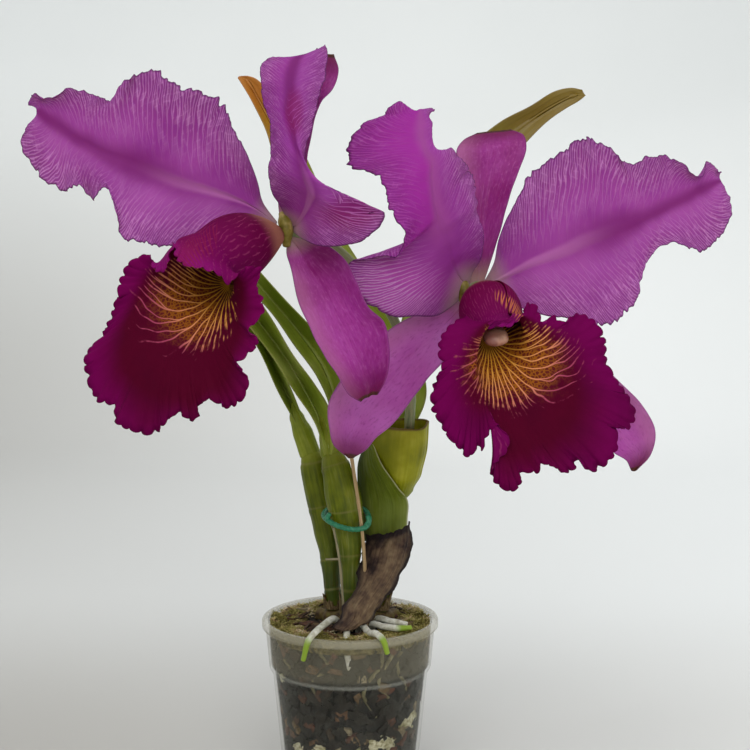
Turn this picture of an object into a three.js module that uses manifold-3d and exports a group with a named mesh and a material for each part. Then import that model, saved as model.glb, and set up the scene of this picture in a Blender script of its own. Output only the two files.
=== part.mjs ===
// A flowering cattleya orchid in its clear nursery pot.
// Millimetres, +Z up. The origin is the middle of the pot's underside, and the flowers look towards -Y.
import * as THREE from "three";
import { mergeVertices } from "three/addons/utils/BufferGeometryUtils.js";
import Module from "manifold-3d";

const wasm = await Module();
wasm.setup();

// ---------------------------------------------------------------- driving dimensions
const POT_HEIGHT = 85;
const RIM_RADIUS = 46; // outside of the rim, a "9 cm" pot
const RIM_BAND = 3.6; // height of the thick band round the mouth
const MOUTH_RADIUS = 42.8;
const LEDGE_HEIGHT = 60; // where the wall steps in by one wall thickness
const BASE_RADIUS = 34.5;
const WALL = 1.2;
const FLOOR = 1.6;
const AROUND = 32; // facets round the pot
const CLEARANCE = 0.35; // kept between neighbours that touch

const PETAL_THICKNESS = 1.0;
const SEPAL_THICKNESS = 1.2;
const LIP_THICKNESS = 0.8;
const LEAF_THICKNESS = 1.8;
const HUSK_THICKNESS = 0.8;

const MIX_TOP = 80; // height of the bark before its bumps
const MOSS_INNER = 25;
const MOSS_OUTER = 41.8;
const MOSS_DEPTH = 3.2;

// ---------------------------------------------------------------- materials
const matter = (color, roughness, more = {}) =>
  new THREE.MeshStandardMaterial({ color, roughness, metalness: 0, side: THREE.DoubleSide, ...more });
const clearPlastic = matter(0xb9c4c2, 0.15, { transparent: true, opacity: 0.4 });
const bark = matter(0x4a4236, 0.95);
const mossGreen = matter(0x6c6a34, 0.95);
const bulbGreen = matter(0x5f6e1c, 0.5);
const leafGreen = matter(0x55692a, 0.45);
const spatheGreen = matter(0x7d7d22, 0.5);
const stalkGreen = matter(0x6f7a4a, 0.5);
const huskBrown = matter(0x6a4f40, 0.85);
const rootWhite = matter(0xcfccb8, 0.7);
const petalPink = matter(0xa046a0, 0.55);
const lipPurple = matter(0x6b0048, 0.5);
const columnCream = matter(0xd9a8b0, 0.5);
const canesBeige = matter(0xb8a27c, 0.8);
const wireTeal = matter(0x1f8d74, 0.4);

// ---------------------------------------------------------------- helpers
const v3 = (p) => new THREE.Vector3(...p);
const smooth = (points) => new THREE.CatmullRomCurve3(points.map(v3), false, "centripetal");

// A repeatable number from 0 to 1 for each whole number.
function chance(n) {
  const s = Math.sin(n * 127.1 + 311.7) * 43758.5453;
  return s - Math.floor(s);
}

// Smooth noise from -1 to 1 over a plane, for lumpy ground.
function lumps(x, y, seed) {
  const xi = Math.floor(x);
  const yi = Math.floor(y);
  const fx = THREE.MathUtils.smoothstep(x - xi, 0, 1);
  const fy = THREE.MathUtils.smoothstep(y - yi, 0, 1);
  const corner = (a, b) => chance((xi + a) * 17 + (yi + b) * 59 + seed * 7);
  const low = THREE.MathUtils.lerp(corner(0, 0), corner(1, 0), fx);
  const high = THREE.MathUtils.lerp(corner(0, 1), corner(1, 1), fx);
  return 2 * THREE.MathUtils.lerp(low, high, fy) - 1;
}

// An uneven wave along an edge: three sines whose lengths and phases come from the seed.
function edgeWave(t, count, seed) {
  const phase = (k) => 2 * Math.PI * chance(seed * 13 + k);
  const main = Math.sin(2 * Math.PI * count * t + phase(1));
  const slow = Math.sin(2 * Math.PI * count * 0.43 * t + phase(2));
  const quick = Math.sin(2 * Math.PI * count * 1.9 * t + phase(3));
  return 0.55 * main + 0.3 * slow + 0.3 * quick;
}

// The normals of a grid of points, from the differences between neighbours.
function gridNormals(grid) {
  const rows = grid.length - 1;
  const cols = grid[0].length - 1;
  return grid.map((row, j) =>
    row.map((_, i) => {
      const along = grid[Math.min(j + 1, rows)][i].clone().sub(grid[Math.max(j - 1, 0)][i]);
      const across = grid[j][Math.min(i + 1, cols)].clone().sub(grid[j][Math.max(i - 1, 0)]);
      return along.cross(across).normalize();
    }),
  );
}

// A closed sheet of even thickness round a grid of points. Both faces are cut into the same triangles.
function sheet(grid, thickness) {
  const rows = grid.length;
  const cols = grid[0].length;
  const normals = gridNormals(grid);
  const position = [];
  for (const side of [0.5, -0.5]) {
    for (let j = 0; j < rows; j++) {
      for (let i = 0; i < cols; i++) {
        const p = grid[j][i].clone().addScaledVector(normals[j][i], side * thickness);
        position.push(p.x, p.y, p.z);
      }
    }
  }
  const at = (face, j, i) => face * rows * cols + j * cols + i;
  const index = [];
  for (let j = 0; j < rows - 1; j++) {
    for (let i = 0; i < cols - 1; i++) {
      const quad = (f) => [at(f, j, i), at(f, j, i + 1), at(f, j + 1, i + 1), at(f, j + 1, i)];
      const [a, b, c, d] = quad(0);
      const [e, f, g, h] = quad(1);
      index.push(a, c, b, a, d, c);
      index.push(e, f, g, e, g, h);
    }
  }
  const rim = [];
  for (let i = 0; i < cols - 1; i++) rim.push([0, i]);
  for (let j = 0; j < rows - 1; j++) rim.push([j, cols - 1]);
  for (let i = cols - 1; i > 0; i--) rim.push([rows - 1, i]);
  for (let j = rows - 1; j > 0; j--) rim.push([j, 0]);
  rim.forEach(([j, i], k) => {
    const [nj, ni] = rim[(k + 1) % rim.length];
    index.push(at(0, j, i), at(0, nj, ni), at(1, nj, ni));
    index.push(at(0, j, i), at(1, nj, ni), at(1, j, i));
  });
  const made = new THREE.BufferGeometry();
  made.setAttribute("position", new THREE.Float32BufferAttribute(position, 3));
  made.setIndex(index);
  return made;
}

// A blade from stations [midrib, one margin, other margin]: each cross-section is the parabola through its
// three points, and the ruffle lifts the margins off it in an uneven wave.
function bladeGrid(stations, rows, cols, ruffle = 0, waves = 5, seed = 1) {
  const curves = [0, 1, 2].map((k) => smooth(stations.map((s) => s[k])));
  const grid = [];
  for (let j = 0; j <= rows; j++) {
    const [mid, one, other] = curves.map((c) => c.getPoint(j / rows));
    const tilt = other.clone().sub(one).multiplyScalar(0.5);
    const cup = one.clone().add(other).multiplyScalar(0.5).sub(mid);
    const row = [];
    for (let i = 0; i <= cols; i++) {
      const s = (2 * i) / cols - 1;
      row.push(mid.clone().addScaledVector(tilt, s).addScaledVector(cup, s * s));
    }
    grid.push(row);
  }
  if (!ruffle) return grid;
  const normals = gridNormals(grid);
  return grid.map((row, j) =>
    row.map((p, i) => {
      const s = (2 * i) / cols - 1;
      const t = j / rows;
      const fade = Math.abs(s) ** 2.5 * THREE.MathUtils.smoothstep(t, 0.08, 0.35);
      const wave = edgeWave(t, waves, seed + (s > 0 ? 50 : 0));
      return p.clone().addScaledVector(normals[j][i], ruffle * fade * wave);
    }),
  );
}

// A closed solid of changing round section along a path, with its ends capped. flat squeezes it front to back.
function limb(path, radii, { sides = 10, steps = 0, grow = 0, flat = 1 } = {}) {
  const curve = smooth(path);
  const count = steps || (path.length - 1) * 3;
  const radiusAt = (t) => {
    const x = t * (radii.length - 1);
    const k = Math.min(Math.floor(x), radii.length - 2);
    const blend = THREE.MathUtils.smoothstep(x - k, 0, 1);
    return grow + THREE.MathUtils.lerp(radii[k], radii[k + 1], blend);
  };
  const position = [];
  const index = [];
  let side = new THREE.Vector3(1, 0, 0);
  for (let j = 0; j <= count; j++) {
    const t = j / count;
    const p = curve.getPoint(t);
    const tangent = curve.getTangent(t);
    if (j === 0 && Math.abs(tangent.x) > 0.9) side.set(0, 1, 0);
    side.addScaledVector(tangent, -side.dot(tangent)).normalize();
    const front = tangent.clone().cross(side);
    for (let i = 0; i < sides; i++) {
      const a = (2 * Math.PI * i) / sides;
      const r = radiusAt(t);
      const q = p.clone().addScaledVector(side, r * Math.cos(a));
      q.addScaledVector(front, r * flat * Math.sin(a));
      position.push(q.x, q.y, q.z);
    }
  }
  for (let j = 0; j < count; j++) {
    for (let i = 0; i < sides; i++) {
      const n = (i + 1) % sides;
      const [a, b, c, d] = [j * sides + i, j * sides + n, (j + 1) * sides + n, (j + 1) * sides + i];
      index.push(a, b, c, a, c, d);
    }
  }
  [0, count].forEach((j) => {
    const p = curve.getPoint(j / count);
    const out = curve.getTangent(j / count).multiplyScalar(j ? 1 : -1);
    p.addScaledVector(out, 0.45 * radiusAt(j / count));
    const tip = position.length / 3;
    position.push(p.x, p.y, p.z);
    for (let i = 0; i < sides; i++) {
      const n = (i + 1) % sides;
      if (j) index.push(tip, j * sides + i, j * sides + n);
      else index.push(tip, n, i);
    }
  });
  const made = new THREE.BufferGeometry();
  made.setAttribute("position", new THREE.Float32BufferAttribute(position, 3));
  made.setIndex(index);
  return made;
}

// Between three.js geometry and manifold-3d solids.
function solid(geometry) {
  const bare = geometry.clone();
  bare.deleteAttribute("normal");
  bare.deleteAttribute("uv");
  const merged = mergeVertices(bare, 1e-4);
  return new wasm.Manifold(
    new wasm.Mesh({
      numProp: 3,
      vertProperties: merged.attributes.position.array,
      triVerts: new Uint32Array(merged.index.array),
    }),
  );
}

function geometryOf(made) {
  const mesh = made.getMesh();
  const geometry = new THREE.BufferGeometry();
  geometry.setAttribute("position", new THREE.BufferAttribute(mesh.vertProperties, 3));
  geometry.setIndex(new THREE.BufferAttribute(mesh.triVerts, 1));
  return geometry;
}

const cut = (geometry, tools) =>
  geometryOf(tools.reduce((left, tool) => left.subtract(solid(tool)), solid(geometry)));

const joined = (geometries) =>
  geometryOf(geometries.slice(1).reduce((sum, g) => sum.add(solid(g)), solid(geometries[0])));

const plant = new THREE.Group();

function add(name, geometry, material, parent = plant) {
  const flatShaded = geometry.index ? geometry.toNonIndexed() : geometry;
  flatShaded.computeVertexNormals();
  const mesh = new THREE.Mesh(flatShaded, material);
  mesh.name = name;
  parent.add(mesh);
  return mesh;
}

// ---------------------------------------------------------------- pot
// A clear tapered pot: thick band at the mouth, a ledge below it, a plain floor.
const potProfile = [
  [0, 0],
  [BASE_RADIUS, 0],
  [BASE_RADIUS + 0.6, 1.2],
  [40.6, LEDGE_HEIGHT - 3],
  [42.2, LEDGE_HEIGHT],
  [44.2, POT_HEIGHT - RIM_BAND - 0.8],
  [RIM_RADIUS, POT_HEIGHT - RIM_BAND],
  [RIM_RADIUS, POT_HEIGHT - 0.4],
  [RIM_RADIUS - 0.4, POT_HEIGHT],
  [MOUTH_RADIUS, POT_HEIGHT],
  [MOUTH_RADIUS - 0.2, POT_HEIGHT - RIM_BAND],
  [42.2 - WALL + 0.2, LEDGE_HEIGHT + 1],
  [40.6 - WALL, LEDGE_HEIGHT - 2],
  [BASE_RADIUS - WALL, FLOOR],
  [0, FLOOR],
].map(([r, z]) => new THREE.Vector2(r, z));
const potBody = new THREE.LatheGeometry(potProfile, AROUND).rotateX(Math.PI / 2);
add("pot", potBody, clearPlastic);

// ---------------------------------------------------------------- plant below the leaves
// Each stem is a path and the radii along it.
const stems = {
  pseudobulb_left: {
    path: [[-21, 14, 172], [-18, 14, 156], [-14, 14, 138], [-11, 12, 120], [-10, 9, 105], [-9, 7, 88]],
    radii: [5.5, 7.6, 8, 7.4, 5.6, 4.4, 4],
  },
  pseudobulb_middle: {
    path: [[-10, -4, 174], [-6, -5, 161], [-2, -6, 145], [-1, -6, 131], [0, -6, 114], [0, -6, 88]],
    radii: [5, 7.4, 8, 7.4, 5.6, 4.2, 4],
  },
  pseudobulb_right: {
    path: [[21, 16, 172], [19, 15, 155], [18, 13, 141], [19, 11, 128], [18, 8, 113], [15, 4, 88]],
    radii: [5.5, 8.6, 10, 9.6, 8, 5.4, 4.4],
  },
};
const rhizome = {
  path: [[-17, 13, 83], [-9, 7, 82.5], [0, -5, 82], [8, -4, 82], [16, 4, 82.5], [24, 12, 83]],
  radii: [3, 5.4, 5.8, 5.2, 5.4, 3],
};
const roots = {
  root_over_rim: [
    [-5, -10, 84], [-8, -19, 89], [-12, -30, 89.5], [-16, -40, 88.5], [-19.5, -45.5, 85.5], [-22, -46, 76],
  ],
  root_front: [[1, -11, 82], [1, -19, 86], [-1, -31, 86.5], [-1, -38, 80], [0, -38.5, 72], [0, -37, 64]],
  root_right: [[13, -5, 82], [15, -11, 87], [21, -18, 87.5], [29, -21, 87]],
  root_right_long: [[11.5, -12, 81.5], [12, -18, 86], [18, -24.5, 86.5], [24, -27, 86.5], [31, -26, 86.5]],
  root_front_right: [[4, -13, 80], [6, -22, 87], [10, -33, 86], [14, -42, 87.8], [17, -46.5, 86], [19, -48, 80]],
};
const ROOT_RADII = [1.5, 1.7, 1.6, 1.6, 1.2];
const stake = {
  path: [
    [1, -14.5, 172], [3.5, -15.5, 155], [6, -15.8, 137], [7.5, -15, 120], [8.3, -14, 105], [8.6, -13.5, 92],
    [8.6, -13.5, 74],
  ],
  radii: [0.9, 0.9],
};
const dryStem = { path: [[-8, -16, 135], [-5, -15, 117], [-2, -13.5, 74]], radii: [0.5, 0.7] };
const dryTwig = { path: [[-12, -15.5, 119], [-5.5, -15, 119]], radii: [0.5, 0.6] };

const stemShape = (s, grow = 0) => limb(s.path, s.radii, { grow, sides: 12, steps: 13 });
const rootShape = (path, grow = 0) => limb(path, ROOT_RADII, { grow, sides: 7, steps: 9 });
const rhizomeShape = (grow = 0) => limb(rhizome.path, rhizome.radii, { grow, sides: 10, steps: 12 });
const stakeShape = (grow = 0) => limb(stake.path, stake.radii, { grow, sides: 6, steps: 9 });
const dryStemShape = (grow = 0) => limb(dryStem.path, dryStem.radii, { grow, sides: 6, steps: 6 });
const dryTwigShape = limb(dryTwig.path, dryTwig.radii, { sides: 6, steps: 1 });

Object.entries(stems).forEach(([name, s]) => add(name, stemShape(s), bulbGreen));
Object.entries(roots).forEach(([name, path]) => add(name, rootShape(path), rootWhite));
const stemRoom = Object.values(stems).map((s) => stemShape(s, CLEARANCE));
const rootRoom = Object.values(roots).map((path) => rootShape(path, CLEARANCE));
add("rhizome", cut(rhizomeShape(), [...stemRoom, ...rootRoom]), bulbGreen);
add("stake", stakeShape(), canesBeige);
add("dry_stem", joined([dryStemShape(), dryTwigShape]), canesBeige);

// The papery brown husk that has come away from the right-hand pseudobulb and leans over the moss.
const husk = [
  [[23, -9, 132], [11, 0, 128], [31, 1, 135]],
  [[21, -13, 123], [11.5, -4, 119], [32, -4, 124]],
  [[18, -18.5, 114], [9.8, -16.5, 111], [28, -9.5, 114]],
  [[13, -24, 106], [5.5, -18.5, 103], [22, -15, 104]],
  [[7, -28.5, 98], [0, -21, 97], [17, -20, 97]],
  [[3, -32, 91], [-5, -26, 91], [11, -25, 91]],
  [[-2, -35, 87.5], [-8, -32, 88], [4, -31, 88]],
];
const huskGrid = bladeGrid(husk, 12, 6, 1.2, 3, 4);
add("dry_husk", sheet(huskGrid, HUSK_THICKNESS), huskBrown);

// ---------------------------------------------------------------- bark and moss
const ringRadii = [0, 7, 14, 20, MOSS_INNER, 31, 37, MOSS_OUTER, MOUTH_RADIUS - 0.55];
const groundHeight = (x, y) => MIX_TOP + 1.6 * lumps(x / 6, y / 6, 3) + 1.5 * Math.exp(-(x * x + y * y) / 300);
const onRing = (r, i) => [r * Math.cos((2 * Math.PI * i) / AROUND), r * Math.sin((2 * Math.PI * i) / AROUND)];

// A solid turned through a list of rings, each a function from the facet number to a point. Its diagonals always
// start on the outer ring, so that one lumpy layer lies evenly on another.
function turned(rings) {
  const position = [];
  const index = [];
  rings.forEach((ring) => {
    for (let i = 0; i < AROUND; i++) position.push(...ring(i));
  });
  const reachOf = (k) => Math.hypot(position[3 * k], position[3 * k + 1]);
  const count = rings.closed ? rings.length : rings.length - 1;
  for (let k = 0; k < count; k++) {
    const m = (k + 1) % rings.length;
    for (let i = 0; i < AROUND; i++) {
      const n = (i + 1) % AROUND;
      const [a, b, c, d] = [k * AROUND + i, k * AROUND + n, m * AROUND + n, m * AROUND + i];
      if (reachOf(a) >= reachOf(d)) index.push(a, b, c, a, c, d);
      else index.push(a, b, d, b, c, d);
    }
  }
  const made = new THREE.BufferGeometry();
  made.setAttribute("position", new THREE.Float32BufferAttribute(position, 3));
  made.setIndex(index);
  return made;
}

const flatRing = (r, z) => (i) => [...onRing(r, i), z];
const groundRing = (r, lift) => (i) => {
  const [x, y] = onRing(r, i);
  return [x, y, groundHeight(x, y) + lift(x, y)];
};
const mixRings = [
  flatRing(0, FLOOR + CLEARANCE),
  flatRing(BASE_RADIUS - WALL - 0.5, FLOOR + CLEARANCE),
  flatRing(40.6 - WALL - 0.5, LEDGE_HEIGHT - 2),
  flatRing(42.2 - WALL - 0.4, LEDGE_HEIGHT + 1.5),
  ...ringRadii.slice().reverse().map((r) => groundRing(r, () => 0)),
];
const inGround = [
  ...stemRoom,
  ...rootRoom,
  rhizomeShape(CLEARANCE),
  stakeShape(CLEARANCE),
  dryStemShape(CLEARANCE),
  sheet(huskGrid, HUSK_THICKNESS + 2 * CLEARANCE),
];
add("potting_mix", cut(turned(mixRings), inGround), bark);

const mossRadii = ringRadii.filter((r) => r >= MOSS_INNER && r <= MOSS_OUTER);
const mossTop = (x, y) => MOSS_DEPTH + 1.3 * lumps(x / 4, y / 4, 11);
const mossRings = [
  ...mossRadii.map((r) => groundRing(r, () => CLEARANCE)),
  groundRing(MOSS_OUTER, (x, y) => 0.7 * mossTop(x, y)),
  ...mossRadii.slice(1, -1).reverse().map((r) => groundRing(r, mossTop)),
  groundRing(MOSS_INNER, (x, y) => 0.6 * mossTop(x, y)),
];
mossRings.closed = true;
add("moss", cut(turned(mossRings), inGround), mossGreen);

// ---------------------------------------------------------------- leaves
// Each leaf is a strap folded along its midrib: stations [midrib, one margin, other margin].
const leaves = {
  leaf_front: [
    [[-11, -6.5, 176.4], [-7.5, -9, 176.6], [-14.5, -9, 176.6]],
    [[-15, -2, 188], [-10, -10, 195], [-17, -9, 187]],
    [[-24, 3, 205], [-18, -11, 208], [-28, -10, 205]],
    [[-34, 7, 221], [-29, -9, 223], [-39, -8, 222]],
    [[-46, 10, 237], [-41, -7, 243], [-50, -6, 236]],
    [[-60, 13, 254], [-53, -4, 259], [-65, -3, 252]],
    [[-74, 14, 268], [-68, -1, 271], [-78, 0, 265]],
    [[-87, 15, 275], [-82, 6, 278], [-89, 7, 274]],
    [[-93, 15, 277], [-92, 13, 278], [-94, 13, 276]],
  ],
  leaf_middle: [
    [[-9.5, 0.2, 175.9], [-6, -2.5, 176.2], [-13, -2.5, 176.2]],
    [[-7, 10, 190], [-2, 3, 197], [-10, 3, 193]],
    [[-12, 15, 211], [-7, 5, 219], [-16, 6, 211]],
    [[-26, 20, 232], [-21, 7, 236], [-29, 9, 228]],
    [[-39, 23, 247], [-34, 10, 250], [-41, 12, 244]],
    [[-54, 26, 264], [-49, 14, 267], [-58, 15, 261]],
    [[-68, 28, 280], [-62, 18, 283], [-73, 19, 276]],
    [[-78, 29, 290], [-75, 24, 293], [-80, 24, 287]],
    [[-82, 29, 295], [-81, 27, 296], [-83, 27, 294]],
  ],
  leaf_left: [
    [[-21.5, 17, 174.7], [-18, 13, 174.9], [-25, 13, 174.9]],
    [[-27, 23, 185], [-24, 14, 185], [-29, 15, 185]],
    [[-35, 30, 200], [-32, 17, 203], [-38, 18, 202]],
    [[-45, 35, 220], [-41, 20, 222], [-47, 22, 221]],
    [[-56, 38, 240], [-50, 23, 243], [-58, 24, 240]],
    [[-64, 40, 258], [-58, 26, 258], [-68, 27, 260]],
    [[-72, 41, 275], [-67, 33, 274], [-75, 33, 276]],
    [[-75, 41, 282], [-74, 39, 282], [-77, 39, 283]],
  ],
  leaf_back_left: [
    [[21.5, 13.5, 174.6], [25, 11.5, 174.7], [18, 11.5, 174.7]],
    [[29, 18, 188], [36, 11, 188], [22, 12, 188]],
    [[31, 22, 201], [40, 14, 202], [22, 14, 201]],
    [[25, 25, 219], [34, 16, 224], [16, 16, 215]],
    [[14, 27, 238], [24, 18, 242], [3, 18, 234]],
    [[0, 28, 257], [10, 19, 262], [-9, 19, 253]],
    [[-12, 30, 278], [-3, 21, 282], [-21, 21, 273]],
    [[-22, 32, 299], [-13, 23, 302], [-31, 23, 295]],
    [[-31, 34, 321], [-22, 26, 322], [-39, 26, 318]],
    [[-40, 35, 339], [-31, 29, 340], [-44, 28, 338]],
    [[-49, 36, 356], [-41, 32, 357], [-52, 31, 355]],
    [[-55, 36, 366], [-50, 34, 367], [-58, 33, 365]],
    [[-59, 36, 369], [-55, 35, 369], [-60, 35, 368]],
  ],
  leaf_back_right: [
    [[20.5, 20.5, 173.7], [24, 18, 173.9], [17, 18, 173.9]],
    [[24, 29, 189], [32, 23, 189], [17, 23, 189]],
    [[32, 36, 212], [42, 27, 211], [22, 27, 215]],
    [[40, 40, 240], [51, 31, 238], [29, 31, 245]],
    [[48, 43, 270], [59, 34, 267], [37, 34, 275]],
    [[58, 45, 298], [68, 37, 294], [48, 37, 304]],
    [[71, 46, 322], [79, 39, 316], [62, 39, 329]],
    [[87, 46, 339], [94, 41, 334], [80, 41, 345]],
    [[102, 46, 350], [106, 42, 346], [97, 42, 354]],
    [[114, 45, 357], [116, 43, 353], [110, 43, 362]],
    [[121, 45, 360], [123, 44, 357], [119, 44, 364]],
    [[126, 44, 361], [127, 44, 360], [125, 44, 363]],
  ],
};
Object.entries(leaves).forEach(([name, stations]) =>
  add(name, sheet(bladeGrid(stations, stations.length + 4, 4), LEAF_THICKNESS), leafGreen),
);

// ---------------------------------------------------------------- spathe and flower stalk
// The spathe is a flattened green sheath, open on top, that the flower stalk grew out of.
const spathePath = [[25.4, 3.8, 146], [26.6, -1, 153], [28.2, -6.5, 163], [30, -10, 176], [31, -11, 188]];
const spatheRadii = [3, 5.6, 7.8, 8.4, 8];
const hollowPath = [[28.4, -7.5, 164.5], [30, -10, 177], [31.2, -11, 194]];
add(
  "spathe",
  cut(limb(spathePath, spatheRadii, { sides: 12, steps: 9, flat: 0.72 }), [
    limb(hollowPath, [5, 7.2, 7.4], { sides: 12, steps: 7, flat: 0.7 }),
  ]),
  spatheGreen,
);
const stalkRuns = [
  { path: [[28.5, -7.6, 164], [30, -10, 180], [31, -15, 200], [31, -24, 215]], radii: [2.2, 2.6, 2.4] },
  {
    path: [[31, -20, 208], [33, -28, 221], [41, -38, 234], [50, -48, 247], [58, -56, 255.6], [60.4, -61, 257]],
    radii: [2.2, 2.4, 2.6, 3.7],
  },
  {
    path: [
      [31, -20, 208], [28, -30, 226], [20, -41, 246], [7, -56, 263], [-5, -68, 275], [-17, -78, 282],
      [-27.6, -87.2, 283.4],
    ],
    radii: [2.2, 2.4, 2.8, 3.4],
  },
];
const stalkShapes = stalkRuns.map((r) => limb(r.path, r.radii, { sides: 8, steps: 2 * r.path.length - 2 }));
add("flower_stalk", joined(stalkShapes), stalkGreen);

// The soft wire that ties the middle pseudobulb to its stake.
const tiePoints = [
  [-10, -14, 138], [-4, -17.4, 136], [3, -18.4, 135], [8.4, -17, 136], [10, -10, 139], [7, -1, 142],
  [-1, 3.2, 143], [-10, 1, 142], [-13, -6, 140],
];
const tieLoop = new THREE.CatmullRomCurve3(tiePoints.map(v3), true, "centripetal");
add("tie", new THREE.TubeGeometry(tieLoop, 28, 1.1, 6, true), wireTeal);

// ---------------------------------------------------------------- flowers
// The lip is a trumpet: a spiral tube round the column whose two lobes overlap on top, opening into a frilled
// front. Its sections run from the ring at its foot, through the ring at its mouth, to the margin.
function lipGrid({ foot, mouth, footRadius, mouthRadius, belly, turn, margin, reach, frill, seed }, rows, cols) {
  const start = v3(foot);
  const end = v3(mouth);
  const axis = end.clone().sub(start).normalize();
  const up = new THREE.Vector3(0, 0, 1).addScaledVector(axis, -axis.z).normalize();
  const left = axis.clone().cross(up);
  const edge = smooth(margin);
  const angleAt = (q) => {
    const k = turn.findIndex((stop, n) => n && q <= stop[0]);
    const [[q0, a0], [q1, a1]] = [turn[k - 1], turn[k]];
    return THREE.MathUtils.degToRad(THREE.MathUtils.mapLinear(q, q0, q1, a0, a1));
  };
  const grid = [];
  for (let j = 0; j <= rows; j++) {
    const row = [];
    for (let i = 0; i <= cols; i++) {
      const q = i / cols;
      const a = angleAt(q);
      const spiral = 1 + 0.1 * (2 * q - 1);
      const outward = up.clone().multiplyScalar(Math.cos(a)).addScaledVector(left, Math.sin(a));
      const onFoot = start.clone().addScaledVector(outward, footRadius * (1 + 0.2 * (2 * q - 1)));
      const onMouth = end.clone().addScaledVector(outward, mouthRadius * spiral);
      const onMargin = edge.getPoint(q);
      const rho = j / rows;
      const tube = 0.35;
      if (rho <= tube) {
        const t = rho / tube;
        const swell = belly * Math.sin(Math.PI * t ** 0.75) * (0.6 + 0.4 * Math.cos(a));
        row.push(onFoot.lerp(onMouth, t).addScaledVector(outward, swell));
      } else {
        const t = (rho - tube) / (1 - tube);
        const bend = onMouth.clone().addScaledVector(axis, reach * onMargin.distanceTo(onMouth));
        bend.addScaledVector(outward, 1.5);
        const p = onMouth.multiplyScalar((1 - t) ** 2);
        row.push(p.addScaledVector(bend, 2 * t * (1 - t)).addScaledVector(onMargin, t * t));
      }
    }
    grid.push(row);
  }
  const normals = gridNormals(grid);
  return grid.map((row, j) =>
    row.map((p, i) => {
      const rho = j / rows;
      const q = i / cols;
      const front = THREE.MathUtils.smoothstep(q, 0.06, 0.16) * THREE.MathUtils.smoothstep(1 - q, 0.08, 0.24);
      return p.clone().addScaledVector(normals[j][i], frill * front * rho ** 5 * edgeWave(q, 9, seed));
    }),
  );
}

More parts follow.
